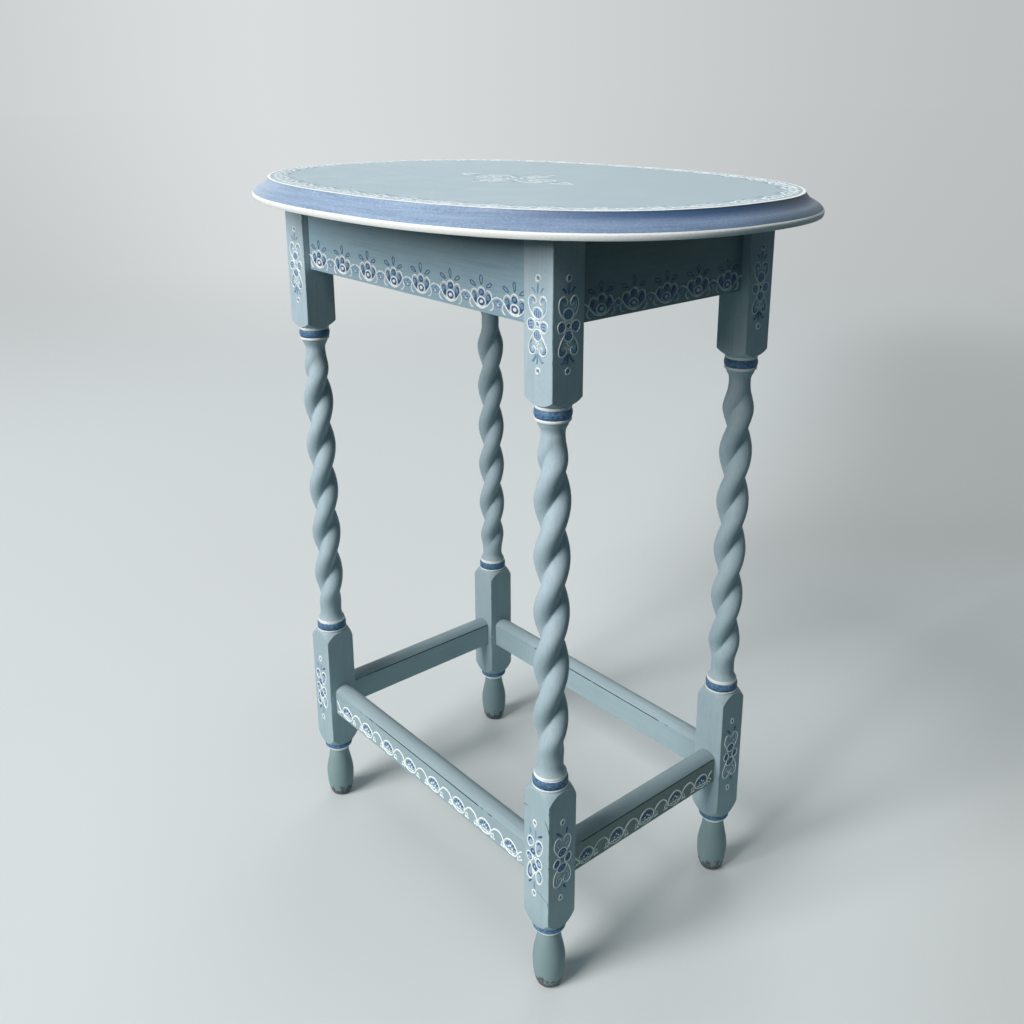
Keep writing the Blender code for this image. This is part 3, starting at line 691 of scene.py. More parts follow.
def make_stretcher(side_name):
    along = SIDES[side_name][0]
    name = "stretcher_" + side_name
    low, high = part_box(name)
    run = "XY".index(along)
    reach = high[run] - TENON_LENGTH - TENON_GAP
    across = (low[1 - run] + high[1 - run]) / 2
    half = (high[1 - run] - low[1 - run]) / 2
    arris = high.z - ARCH_RISE
    eased = low.z + STRETCHER_EASE
    quirk = [(half - inwards * MM, arris + up * MM) for inwards, up in QUIRK]
    far_quirk = [(-out, height) for out, height in reversed(quirk)]
    outline = [(STRETCHER_EASE - half, low.z), (half - STRETCHER_EASE, low.z), (half, eased), *quirk,
               *arc(quirk[-1], far_quirk[0], QUIRK[-1][1] * MM - ARCH_RISE, 16), *far_quirk[1:],
               (-half, eased)]

    def place(k, station):
        out, height = outline[k]
        point = [station[0], across + out] if along == "X" else [across + out, station[0]]
        return Vector((*point, height))

    bm = bmesh.new()
    grow_rings(bm, len(outline), [(-reach, 0), (reach, 0)], place)
    for face in bm.faces:
        middle = face.calc_center_median()
        if abs(abs(middle[1 - run] - across) - half) < NEAR_SIDE and abs(middle.z - arris) < NEAR_CORNER:
            face.material_index = 1
        # The right stretcher's outer face below its top corner takes the darker coat as painted shade
        elif side_name == "right" and middle.x > across + half - NEAR_SIDE and middle.z < arris:
            face.material_index = 2
    coats = (STRETCHER_COATS[along], WORN_LINE[along], SHADED_STRETCHER_SIDE)
    add_piece(name + "_painted", bm, coats, "painted_wood", name, smooth_to=25)


# Brushwork: each stroke is a low rounded ridge of paint, drawn flat in millimetres and then laid on its face

# The hand that paints shakes in the same way each time
noise.seed_set(1)

WHITE, DEEP, PALE, SKY = range(4)
STROKE_SECTION = ((-0.5, -0.3), (-0.33, 0.55), (0.0, 1.0), (0.33, 0.55), (0.5, -0.3))
STROKE_STEP = 1.7
DAB_SHARES = (0.35, 0.8, 1.0, 0.95, 0.8, 0.55, 0.2)
BLOB_SIDES = 14
BLOB_RINGS = ((1.0, -0.12), (0.95, 0.07), (0.72, 0.16), (0.35, 0.2))
EYE_LIFT = 0.26


def pour(bm, small):
    """Add a small bmesh to another."""
    scratch = mesh_from(small, "scratch")
    bm.from_mesh(scratch)
    bpy.data.meshes.remove(scratch)


def smooth_path(points, closed):
    """Close points on a Catmull-Rom curve through the given ones."""
    knots = [Vector(point) for point in points]
    if closed:
        knots = [knots[-1], *knots, knots[0], knots[1]]
    else:
        knots = [2 * knots[0] - knots[1], *knots, 2 * knots[-1] - knots[-2]]
    path = []
    for a, b, c, d in zip(knots, knots[1:], knots[2:], knots[3:]):
        steps = max(2, round((c - b).length / STROKE_STEP))
        for step in range(steps):
            t = step / steps
            path.append(0.5 * (2 * b + (c - a) * t + (2 * a - 5 * b + 4 * c - d) * t * t
                               + (3 * b - a - 3 * c + d) * t ** 3))
    return path if closed else path + [knots[-2]]


def ridge(bm, paint, path, widths, closed=False):
    """Sweep the stroke's section along a path."""
    stations = []
    last = len(path) - 1
    for i, point in enumerate(path):
        before = path[i - 1] if i or closed else point
        after = path[(i + 1) % len(path)] if i < last or closed else point
        heading = (after - before).normalized()
        stations.append((point, Vector((-heading.y, heading.x)), widths[i], paint))

    def place(k, station):
        point, aside, wide, _ = station
        out, rise = STROKE_SECTION[k]
        return Vector((*(point + aside * wide * out), rise * min(0.6, 0.2 + 0.28 * wide)))

    small = bmesh.new()
    first, end = grow_rings(small, len(STROKE_SECTION), stations, place, closed_ends=not closed)
    if closed:
        for face in bmesh.ops.bridge_loops(small, edges=first + end)["faces"]:
            face.material_index = paint
    pour(bm, small)


def line(bm, paint, width, *points, closed=False, thin_end=0.35):
    """A stroke through the points, laid on firmly and lifted off thin."""
    path = smooth_path(points, closed)
    last = len(path) - 1
    widths = []
    for i, point in enumerate(path):
        pressed = 1 + 0.22 * noise.noise(Vector((*point, width)) * 0.23)
        if not closed:
            pressed *= min(1, 0.6 + 2.5 * i / last, thin_end + 2.2 * (last - i) / last)
        widths.append(width * pressed)
    ridge(bm, paint, path, widths, closed)


def mirrored(bm, paint, width, *points, shift=0, closed=False):
    """The same stroke to the left and to the right of a line."""
    for side in (-1, 1):
        line(bm, paint, width, *((shift + side * u, v) for u, v in points), closed=closed)


def both_ways(middle, *points):
    """The points of a path that runs the same way to the left and to the right of its middle."""
    return [(-u, v) for u, v in reversed(points)] + [middle, *points]


def ring(bm, paint, width, centre, rx, ry):
    round_about = [(centre[0] + rx * cos(a * pi / 4), centre[1] + ry * sin(a * pi / 4))
                   for a in range(8)]
    line(bm, paint, width, *round_about, closed=True)


def dab(bm, paint, width, start, end):
    """A pressed touch of the brush that comes off to a point."""
    path = [Vector(start).lerp(Vector(end), i / (len(DAB_SHARES) - 1)) for i in range(len(DAB_SHARES))]
    ridge(bm, paint, path, [width * share for share in DAB_SHARES])


def blob(bm, paint, centre, rx, ry, lift=0.0):
    def place(k, station):
        angle = tau * k / BLOB_SIDES
        share, rise, _ = station
        return Vector((centre[0] + rx * share * cos(angle), centre[1] + ry * share * sin(angle), rise + lift))

    small = bmesh.new()
    grow_rings(small, BLOB_SIDES, [(*blob_ring, paint) for blob_ring in BLOB_RINGS], place)
    pour(bm, small)


def eye(bm, paint, centre, rx, ry):
    """A touch of paint laid over another one."""
    blob(bm, paint, centre, rx, ry, EYE_LIFT)


def petal(bm, width, start, end):
    """The outline of a petal, the ground showing inside."""
    start, end = Vector(start), Vector(end)
    along = end - start
    aside = Vector((-along.y, along.x)).normalized() * width / 2
    line(bm, DEEP, 0.95, start, start + along * 0.3 + aside, start + along * 0.7 + aside * 0.7, end,
         start + along * 0.7 - aside * 0.7, start + along * 0.3 - aside, closed=True)


def striped_oval(bm, centre, rx, ry):
    u, v = centre
    blob(bm, SKY, centre, rx, ry)
    for aside, reach in ((-3.3, 0.42), (-1.1, 0.74), (1.1, 0.74), (3.3, 0.42)):
        line(bm, DEEP, 0.9, (u + aside * 0.9, v - ry * reach), (u + aside, v),
             (u + aside * 0.9, v + ry * reach))
    ring(bm, WHITE, 1.25, centre, rx, ry)


def draw_top_block(bm):
    """Panel on a leg's top block, measured from its middle: scrolls and ovals between two small rings."""
    for height in (36.8, -36):
        ring(bm, WHITE, 1.3, (0, height), 2.6, 2.6)
        line(bm, DEEP, 0.9, (-1.1, height), (0.2, height + 1.2), (1, height - 0.5), (-0.3, height - 1))
    line(bm, PALE, 2.2, (0, 33), (-0.3, 29), (0, 25))
    mirrored(bm, PALE, 1.8, (6.9, 29.2), (5.6, 29.3), (4.1, 27.2), (2.6, 25.8))
    # Four scrolls, each shaded with paler blue along its inside
    mirrored(bm, SKY, 2.6, (5.6, 10.6), (8.2, 14.4), (8.4, 18.6), (6.6, 20.8), (4.4, 20.4))
    mirrored(bm, DEEP, 0.8, (7.2, 11.6), (9, 15.4), (8.8, 19.6), (6.4, 21.6), (4, 20.8), (3.2, 18.6))
    mirrored(bm, WHITE, 1.35, (2.3, 3.4), (5.5, 7), (8.8, 11.5), (10.3, 16.5), (9.8, 20.6), (7.7, 22.9),
             (5, 23.4), (2.9, 22), (1.7, 19.6), (2.5, 17.4), (4.3, 16.8), (5.2, 18.2))
    mirrored(bm, SKY, 2.8, (7.6, -14.6), (7.6, -18.6), (5.4, -20.6), (3.6, -18.4))
    mirrored(bm, DEEP, 0.8, (6, -11.4), (8.4, -15), (9.2, -19), (7.6, -21.6), (5, -21.4), (3.2, -19.2))
    mirrored(bm, WHITE, 1.35, (2.3, -3), (4.5, -6.6), (7.7, -11.1), (10, -16.2), (10.2, -20.2), (8.4, -22.9),
             (5.6, -23.2), (3, -21.4), (2.2, -18.4), (3.8, -16.4), (5.8, -17.2), (5.5, -19))
    striped_oval(bm, (-0.2, 9.6), 5.3, 4.8)
    striped_oval(bm, (0, -7.6), 4.8, 4.6)
    for middle in (-7.3, 7.3):
        blob(bm, SKY, (middle, -0.3), 4, 3.8)
        for height in (2.2, -0.2, -2.6):
            line(bm, DEEP, 1.0, (middle - 2.2, height - 0.3), (middle, height + 0.4), (middle + 2, height))
        line(bm, DEEP, 0.9, (middle - 2.8, 2.2), (middle - 3.4, -0.2), (middle - 2.6, -2.6))
    mirrored(bm, WHITE, 1.25, (3.6, 2.9), (6.8, 4.4), (10.4, 3.3), (11.8, -0.2), (10.2, -3.8), (7.3, -4.9),
             (4.4, -3.6), (2.7, -0.6), closed=True)
    ring(bm, WHITE, 1.0, (0, 0.8), 2.3, 2.3)
    blob(bm, PALE, (0, 0.8), 1.5, 1.5)
    for centre in ((-1.4, -13.6), (1.4, -13.6), (0, -15.4), (0, -18)):
        blob(bm, WHITE, centre, 0.8, 0.9)
    line(bm, PALE, 2.4, (-0.2, -21.4), (-0.6, -25.6), (-1, -30.4))
    mirrored(bm, PALE, 2.2, (1.6, -22.4), (3.6, -26), (5.6, -28.6), (7.4, -27.8), shift=-0.4)


def draw_bottom_block_front(bm):
    """Posy on the front of a leg's bottom block, at its heights above the floor."""
    ring(bm, WHITE, 1.3, (-1.3, 185), 2.3, 2.7)
    blob(bm, DEEP, (-1.3, 184.8), 0.9, 1.0)
    blob(bm, WHITE, (-1.3, 180.6), 0.8, 0.9)
    dab(bm, PALE, 3.4, (-8.2, 177.8), (-8, 171.2))
    dab(bm, DEEP, 2.6, (8, 175.9), (1.8, 171.8))
    dab(bm, PALE, 2.0, (-1.2, 178), (-0.9, 169.6))
    # Petals: each an outline, a dark touch along its top and a pale one in its middle
    for middle, height, rx, ry in ((-7.6, 163, 4, 5.6), (-8.4, 146, 4.3, 4.8), (4.2, 144.2, 3.8, 5.2)):
        blob(bm, SKY, (middle, height - 0.6), rx * 0.55, ry * 0.5)
        line(bm, DEEP, 1.8, (middle - rx * 0.66, height - 0.6), (middle - rx * 0.5, height + ry * 0.45),
             (middle + rx * 0.1, height + ry * 0.62), (middle + rx * 0.62, height + ry * 0.2))
        ring(bm, WHITE, 1.3, (middle, height), rx, ry)
    line(bm, DEEP, 1.3, (-10.6, 143.2), (-8.2, 142), (-5.6, 144.4))
    line(bm, DEEP, 1.3, (2, 141.6), (4.4, 140.4), (6.4, 143.2))
    line(bm, WHITE, 1.35, (0.3, 154.6), (-0.4, 160), (0.2, 166), (2.8, 168.6), (6.6, 168.2), (8.9, 164.8),
         (8.2, 159.6), (6, 154.4), (3.2, 151.8), closed=True)
    line(bm, DEEP, 2.0, (1.8, 163.4), (3.2, 166), (6.2, 165.6), (7, 162.8))
    blob(bm, SKY, (4.4, 162.2), 1.7, 1.7)
    line(bm, DEEP, 0.9, (5.8, 160.4), (3.4, 157.4), (2, 153.8))
    blob(bm, SKY, (2.8, 155.2), 1.6, 2.4)
    for middle, height in ((-3.8, 153.4), (-2.2, 137.4)):
        blob(bm, DEEP, (middle, height), 3.2, 3.4)
        eye(bm, SKY, (middle + 0.6, height + 0.7), 1.3, 1.2)
    # Crosses between the petals
    for height in (147, 131.6):
        line(bm, WHITE, 1.2, (-4.4, height + 3.2), (-1.6, height), (1.4, height - 3))
        line(bm, WHITE, 1.2, (1.2, height + 3), (-1.6, height), (-4, height - 3))
    line(bm, SKY, 2.0, (-9.2, 133.6), (-9.4, 128), (-7.6, 125.4))
    line(bm, DEEP, 1.5, (-7.6, 137.6), (-9.8, 133.4), (-10.6, 128.4), (-9.2, 124.6), (-6.8, 125.4),
         (-6.6, 128.4))
    line(bm, WHITE, 1.35, (-4.6, 132.8), (-7.8, 139.6), (-10.4, 136.6), (-12, 130.4), (-11.8, 124.8),
         (-9, 121.9), (-5.4, 123), (-4, 127), closed=True)
    blob(bm, SKY, (4.4, 130), 2.4, 4.8)
    line(bm, DEEP, 1.0, (2.4, 133), (4.2, 135.4), (6.4, 133.4), (6.6, 128.6), (5, 125.2))
    line(bm, WHITE, 1.35, (0.2, 131), (2.6, 136.8), (5.6, 136.6), (8, 132.6), (7.9, 126.6), (5.2, 122.6),
         (2, 123.6), (0.3, 127), closed=True)
    dab(bm, DEEP, 2.4, (-5.4, 121.6), (-9.8, 116.2))
    dab(bm, PALE, 2.8, (-1.9, 122), (-2, 112.6))
    ring(bm, WHITE, 1.3, (-2.3, 108.6), 2.5, 3.1)
    blob(bm, DEEP, (-2.3, 108.6), 0.9, 1.1)


def draw_bottom_block_side(bm):
    """Posy on the outer side of a leg's bottom block, at its heights above the floor."""
    for centre in ((0.4, 188), (-1.1, 108)):
        ring(bm, WHITE, 1.3, centre, 2.1, 3)
        blob(bm, DEEP, centre, 0.9, 1.1)
    dab(bm, DEEP, 3.4, (-8, 179.6), (-0.6, 172.6))
    dab(bm, DEEP, 3.0, (5.8, 180.6), (4.8, 174.2))
    for side in (-1, 1):
        blob(bm, PALE, (side * 6.2 - 0.4, 166.6), 2.4, 3.8)
        blob(bm, PALE, (side * 6.2 - 0.4, 128), 2.6, 3.8)
        blob(bm, DEEP, (side * 6.6, 147.7), 3.4, 4)
        ring(bm, WHITE, 1.25, (side * 6.8, 147.5), 3.9, 4.7)
    mirrored(bm, WHITE, 0.8, (4.2, 163), (7, 165.6), (6.6, 169.4), (4.4, 168))
    mirrored(bm, WHITE, 0.8, (4, 133.6), (7.2, 130.2), (6.8, 126), (4.2, 126.2))
    mirrored(bm, WHITE, 1.35, (3.2, 153), (7.2, 158), (10, 163), (10.4, 167.6), (8.6, 171.8), (5.4, 173),
             (2.4, 171.2), (0.9, 168.4))
    mirrored(bm, WHITE, 1.35, (4.6, 143.4), (8, 137.4), (10.6, 131.4), (10.4, 126), (7.8, 122.2),
             (4.4, 121.8), (1.6, 124), (1, 127.4), (3.2, 129.2), (5, 127.6))
    for centre in ((-0.3, 156.4), (-0.3, 140)):
        blob(bm, DEEP, centre, 5, 4)
        ring(bm, PALE, 1.3, centre, 2.6, 1.9)
        ring(bm, WHITE, 1.2, centre, 5.7, 4.6)
    for centre in ((-1, 147.2), (1, 147.2), (-1, 149.4), (1, 149.4)):
        blob(bm, DEEP, centre, 0.8, 0.8)
    dab(bm, PALE, 2.6, (-4.2, 121), (-4.2, 114.4))
    dab(bm, DEEP, 3.0, (1.4, 120.4), (4.8, 115.2))


def draw_apron_flower(bm):
    """One flower of the border along a rail under the top, with the vine up to half way on both sides."""
    mirrored(bm, DEEP, 6.2, (10.3, 652.4), (9.4, 650), (8.4, 647.2), (7.2, 643.9))
    for u in (-9.2, 9.2):
        blob(bm, PALE, (u, 649.4), 1.9, 2.4, 2 * EYE_LIFT)
    blob(bm, DEEP, (-0.2, 652.9), 3.8, 2.9)
    eye(bm, PALE, (-0.2, 653), 2, 1.4)
    blob(bm, DEEP, (0, 645), 4.5, 3.4)
    eye(bm, WHITE, (0, 645.2), 2.2, 1.7)
    ring(bm, WHITE, 1.6, (0, 645), 5.2, 4.1)
    line(bm, WHITE, 1.7, (-4.7, 651.6), (-4.4, 654.4), (-3, 656.6), (-0.2, 657.4), (2.8, 656.6), (4.3, 654.4),
         (4.6, 651.6))
    mirrored(bm, WHITE, 1.7, (13.4, 648.6), (13.4, 651.4), (12, 653.9), (9.4, 655.2), (6.6, 654.6),
             (4.7, 652.6))
    vine = both_ways((0, 639.9), (4.2, 640.7), (8, 642.8), (11, 645.7), (13.4, 648.2), (16, 650.2),
                     (18.6, 651.3), (21.2, 651.5))
    line(bm, WHITE, 1.8, *vine, thin_end=0.9)
    mirrored(bm, WHITE, 1.6, (13.9, 647.2), (15.4, 644.4), (15, 641.6), (13.2, 639.6), (10.8, 639.2))
    petal(bm, 3.4, (-0.6, 667.4), (0, 659.6))
    petal(bm, 2.9, (-14.6, 661.8), (-7, 658.1))
    petal(bm, 2.9, (13.2, 661.4), (6.2, 658.2))


def draw_apron_bloom(bm):
    """The little bloom that hangs under each arch of a rail's border."""
    blob(bm, SKY, (0, 646.7), 4.4, 2.5)
    ring(bm, PALE, 1.0, (0, 646.7), 4.8, 2.8)
    for start, end in (((-3, 646.4), (-1.4, 645.2)), ((-1.4, 648.2), (1, 648.4)), ((0.8, 646.4), (3, 647))):
        dab(bm, DEEP, 1.2, start, end)
    eye(bm, WHITE, (0.2, 645.6), 1.1, 0.8)


def draw_stretcher_pod(bm):
    """One round flower of the vine along a stretcher."""
    blob(bm, PALE, (0, 130.4), 5.8, 3.8)
    for degrees in (14, 52, 90, 128, 166):
        angle = radians(degrees)
        out = Vector((cos(angle) * 1.2, sin(angle)))
        dab(bm, DEEP, 2.6, Vector((0, 129)) + out * 6.2, Vector((0, 129)) + out * 3.4)
    for u in (-4.6, -0.2, 4.2):
        line(bm, WHITE, 1.3, (u - 1.9, 126.4), (u - 1, 124.9), (u + 1, 124.9), (u + 1.9, 126.6))
    for centre in ((-2.8, 128.8), (0, 130.8), (2.8, 128.8)):
        eye(bm, WHITE, centre, 1.1, 0.9)
    line(bm, WHITE, 1.6, (-7.6, 123.8), (-9.6, 127.4), (-8.8, 131.8), (-5, 135.4), (0, 137), (5.2, 135.2),
         (9, 131.4), (9.4, 127), (6.6, 123.4), (0, 121.8), closed=True)


def draw_stretcher_arch(bm):
    """The vine from one flower of a stretcher over to the next, with berries at its feet."""
    line(bm, WHITE, 1.8, (-15.4, 122.6), (-12.4, 125), (-9, 130.4), (-5, 134.6), (0, 136.2), (4.6, 135),
         (8.2, 131.2), (10, 127), (12.4, 123.6), thin_end=0.7)
    for side in (-1, 1):
        ring(bm, WHITE, 1, (side * 7.4, 125.6), 1.7, 2)
        blob(bm, WHITE, (side * 8.8, 122.9), 1.7, 1.2)
        blob(bm, WHITE, (side * 5.4, 122.8), 1.4, 1.1)


def draw_cracks(bm):
    """Hairline cracks in the coat near the corners of one leg's bottom block; PALE is the bared ground."""
    line(bm, DEEP, 0.45, (1, 112.6), (5, 111.6), (9, 109.4), (13, 108.4), (16, 107.8))
    blob(bm, DEEP, (16, 106.6), 0.5, 1.2)
    line(bm, DEEP, 0.7, (-16.4, 196.4), (-14.6, 197.6), (-12.6, 197.4), (-11.4, 198))
    line(bm, DEEP, 0.8, (16.3, 183), (15.9, 187), (14.4, 190.4), (12.2, 193.6), (10.8, 195))
    blob(bm, PALE, (11.6, 194.6), 0.7, 0.6)


def draw_vine_end(bm):
    """Where the vine of a stretcher sets out from the leg on its left."""
    line(bm, WHITE, 1.8, (3, 136.8), (5.4, 133.6), (9, 128.6), (13.6, 125.2), thin_end=0.7)
    blob(bm, WHITE, (8.6, 124.2), 1.7, 1.4)
    blob(bm, WHITE, (5.2, 123.4), 1.4, 1.2)


def draw_vine_tip(bm):
    """The last leaf of a stretcher's vine, to the right of its last flower."""
    line(bm, WHITE, 1.6, (6.6, 123.4), (10.2, 127.6), (13, 131.6), (16.8, 133.8), thin_end=0.6)
    for centre in ((10.4, 124.2), (13.2, 126.8), (13.4, 122.8), (10.4, 121.4), (15.8, 124.8)):
        blob(bm, WHITE, centre, 1.3, 1.1)


def draw_lace(bm):
    """One repeat of the lace round the top: u runs along the edge, v inwards from the arris line."""
    line(bm, WHITE, 1.4, *both_ways((0, 0), (5, 0.4), (10.5, 2.4), (15, 6.6), (20.6, 8.2)), thin_end=0.9)
    line(bm, WHITE, 1.5, *both_ways((0, 13.2), (3.4, 12), (5.2, 9.8), (9.6, 10.6), (12.6, 7.4), (10.6, 3.4)),
         thin_end=0.8)
    ring(bm, WHITE, 1.4, (0, 4.2), 4.6, 2.7)
    blob(bm, DEEP, (0, 9.2), 2.6, 1.9)
    blob(bm, DEEP, (0, 4.2), 2.4, 1.2)
    mirrored(bm, WHITE, 1.4, (12.6, 3.2), (15.4, 0.8), (18.6, 0.6), (18.4, 3.2))
    for side in (-1, 1):
        blob(bm, PALE, (side * 8, 6.4), 2.9, 2.4)
        dab(bm, DEEP, 2.6, (side * 12.6, 15.6), (side * 5.6, 12.4))
    dab(bm, DEEP, 2.6, (0, 18.6), (0, 14))
    blob(bm, PALE, (20.6, 4), 2.6, 1.8)


# A quarter of the medallion in the middle of the top
QUARTER_STROKES = (
    (line, WHITE, 1.6, (6, 4), (16, 11), (28, 16), (40, 14), (46, 8), (42, 3), (36, 5), (38, 9)),
    (line, PALE, 1.8, (46, 12), (55, 9), (63, 4), (70, 5)),
    (line, WHITE, 1.4, (58, 8), (67, 6), (74, 2), (80, 0)),
    (line, WHITE, 1.5, (4, 12), (9, 22), (11, 31), (6, 36), (1, 33), (3, 28)),
    (line, PALE, 1.8, (11, 36), (7, 43), (2, 47)),
    (line, PALE, 1.5, (16, 26), (25, 26), (34, 21)),
    (line, DEEP, 2.2, (14, 15), (20, 20), (28, 20)),
    (dab, DEEP, 2.6, (50, 2), (61, 1)),
    (dab, DEEP, 2.2, (22, 32), (15, 38)))


def draw_medallion(bm):
    """Loose pointed oval of scrolls in the middle of the top."""
    for side in (-1, 1):
        for end in (-1, 1):
            for stroke, paint, width, *points in QUARTER_STROKES:
                stroke(bm, paint, width, *((side * u, end * v) for u, v in points))
        ring(bm, WHITE, 1.3, (side * 27, 0), 5.4, 4)
        blob(bm, DEEP, (side * 27, 0), 3.0, 2.2)
        dab(bm, WHITE, 2.2, (0, side * 52), (0, side * 41))
        ring(bm, WHITE, 1.2, (0, side * 21), 3.6, 4.4)
    ring(bm, WHITE, 1.5, (0, 0), 8.5, 6.5)
    ring(bm, DEEP, 1.6, (0, 0), 5.4, 4)
    blob(bm, PALE, (0, 0), 2.2, 1.7)
    for turn in range(8):
        angle = pi / 8 + turn * pi / 4
        dab(bm, DEEP, 2.4, (15 * cos(angle), 11.5 * sin(angle)),
            (10.5 * cos(angle), 8 * sin(angle)))


@functools.cache
def template(draw):
    """The mesh of a pattern, which is drawn only once."""
    bm = bmesh.new()
    draw(bm)
    return mesh_from(bm, "template")


def paint_on(bm, draw, lay, seed, shift=0.0, unsteady=1.0, paints=None):
    """Copy a pattern on to a surface, a little unsteady as a hand is; lay turns (u, v, rise) into a place."""
    verts, faces = len(bm.verts), len(bm.faces)
    bm.from_mesh(template(draw))
    bm.verts.ensure_lookup_table()
    bm.faces.ensure_lookup_table()
    for face in bm.faces[faces:] if paints else ():
        face.material_index = paints[face.material_index]
    for vert in bm.verts[verts:]:
        u, v, rise = vert.co.x + shift, vert.co.y, vert.co.z
        spot = Vector((u, v, seed * 37.3))
        shake = noise.noise_vector(spot * 0.055) * 1.1 + noise.noise_vector(spot * 0.35) * 0.35
        vert.co = lay(u + shake.x * unsteady, v + shake.y * unsteady, rise)


def right_of(out):
    """The way to the right on a face seen from outside; out is the way it faces."""
    return Vector((-out.y, out.x, 0))


def lay_on_face(origin, out):
    """Flat upright face: u runs to the right and v up, from the origin."""
    def lay(u, v, rise):
        return origin + (right_of(out) * u + Vector((0, 0, v)) + out * rise) * MM
    return lay


TOP_PANEL_HEIGHT = 639 * MM
INNER_FACES = (168.85 * MM, 102.45 * MM)        # from the middle of the table to the legs' inner faces
# Where the flowers stand along the rails, from the inner face of the leg on the left
FLOWERS = {"X": (19.4, 63.1, 108, 150.6, 192.9, 235.7, 277.7, 319.6), "Y": (27.2, 64.6, 104.4, 145, 185.2)}
PODS = {"X": (24.4, 65.6, 106.7, 148.3, 189, 231, 272, 311), "Y": (20, 60, 102.7, 144, 184.7)}
BRUSH_PAINTS = (BRUSH_WHITE, BRUSH_BLUE, BRUSH_PALE, BRUSH_SKY)
DEEPER = {WHITE: WHITE, DEEP: DEEP, PALE: DEEP, SKY: PALE}
CRACKS_OUT = Vector((0, 0.12 * MM, 0))


def decorate_leg(name, seed):
    middle, half, _ = leg_square(name)
    bm = bmesh.new()
    for axis, posy in enumerate((draw_bottom_block_side, draw_bottom_block_front)):
        out = Vector((0, 0, 0))
        out[axis] = copysign(1, middle[axis])
        face = Vector((middle.x, middle.y, 0)) + out * half
        paint_on(bm, draw_top_block, lay_on_face(face + Vector((0, 0, TOP_PANEL_HEIGHT)), out),
                 seed + axis * 0.5, paints=None if axis else DEEPER)
        paint_on(bm, posy, lay_on_face(face, out), seed + axis * 0.5)
    add_piece(name + "_scrollwork", bm, BRUSH_PAINTS, "painted_wood", smooth_to=75)
    if name == "leg_front_right":
        bm = bmesh.new()
        paint_on(bm, draw_cracks, lay_on_face(face + CRACKS_OUT, out), 3)
        add_piece("cracked_coat", bm, (BRUSH_WHITE, CRACK, BRUSH_FAINT), "painted_wood")


def decorate_rails(side_name, seed):
    along, side = SIDES[side_name]
    out = way_out(side_name)
    run = "XY".index(along)
    for rail, centres, flower, between in (
            ("apron", FLOWERS[along], draw_apron_flower, draw_apron_bloom),
            ("stretcher", PODS[along], draw_stretcher_pod, draw_stretcher_arch)):
        low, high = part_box(rail + "_" + side_name)
        face = Vector((0, 0, 0))
        face[1 - run] = (high if side > 0 else low)[1 - run]
        lay = lay_on_face(face - right_of(out) * INNER_FACES[run], out)
        bm = bmesh.new()
        for i, centre in enumerate(centres):
            paint_on(bm, flower, lay, seed, centre, 0.8, None if along == "X" else DEEPER)
            if i:
                paint_on(bm, between, lay, seed, (centre + centres[i - 1]) / 2, 0.8)
        if rail == "stretcher":
            paint_on(bm, draw_vine_end, lay, seed, 0, 0.5)
            paint_on(bm, draw_vine_tip, lay, seed, centres[-1], 0.5)
        add_piece(rail + "_" + side_name + "_scrollwork", bm, BRUSH_PAINTS, "painted_wood", smooth_to=75)


LACE_INSET = 21.8
LACE_REPEATS = 36
LACE_MEASURED_INSET = 30 * MM       # the repeats are spaced along this line
LACE_STEPS = 1440
TOP_RELIEF = 0.4                    # the top's strokes are flatter than the others


def decorate_top():
    """Lace bent round the edge of the top, and the medallion in its middle."""
    turns = [tau * i / LACE_STEPS for i in range(LACE_STEPS + 1)]
    points = [outline_point(turn, LACE_MEASURED_INSET) for turn in turns]
    lengths = [0.0]
    for here, there in zip(points, points[1:]):
        lengths.append(lengths[-1] + (there - here).length / MM)
    pitch = lengths[-1] / LACE_REPEATS

    def on_top(point, rise):
        return Vector((*point, TABLE_HEIGHT + rise * TOP_RELIEF * MM))

    def lay_lace(u, v, rise):
        way = (-u) % lengths[-1]
        i = min(bisect.bisect_right(lengths, way), LACE_STEPS) - 1
        turn = turns[i] + (turns[i + 1] - turns[i]) * (way - lengths[i]) / (lengths[i + 1] - lengths[i])
        return on_top(outline_point(turn, (LACE_INSET + v) * MM), rise)

    bm = bmesh.new()
    for i in range(LACE_REPEATS):
        paint_on(bm, draw_lace, lay_lace, 9, pitch * i, 0.8)
    paint_on(bm, draw_medallion, lambda u, v, rise: on_top((u * MM, v * MM), rise), 11)
    add_piece("top_scrollwork", bm, (LACE_WHITE, BRUSH_LACE, BRUSH_FAINT), "painted_top", smooth_to=75)


make_top()
for leg_name in TWIST_TURNS:
    make_leg(leg_name)
for side_name in SIDES:
    make_apron(side_name)
    make_stretcher(side_name)
for seed, leg_name in enumerate(TWIST_TURNS):
    decorate_leg(leg_name, seed)
for seed, side_name in enumerate(SIDES, 5):
    decorate_rails(side_name, seed)
decorate_top()

# The hidden pieces keep the solids' form
for node_name, node in frame["nodes"].items():
    for kind, finish in (("dowel", RAW_BEECH), ("corner_block", RAW_OAK), ("screw", SCREW_STEEL)):
        if kind in node_name:
            for material_slot in node.material_slots:
                material_slot.material = finish


# Floor, background, light and camera

BACKDROP_MIDDLE = "#DBDEDF"
BACKDROP_RIGHT = "#BABEBF"
BACKDROP_LEFT = "#C3C7C8"
PAPER = "#D9DCDC"
SHADED_PAPER = "#B4B6B5"
# What light the floor throws back up: near the table, and further out
BOUNCE_NEAR = "#C2DADC"
BOUNCE_FAR = "#10343A"
FILL = (0.3, 0.82, 1.0, 1)
FILL_STRENGTH = 0.07
FLOOR_REACH = 30
TO_FLOOR_RIGHT = (0.990, 0.471, 0)
TO_FLOOR_BACK = (-0.762, 0.647, 0)


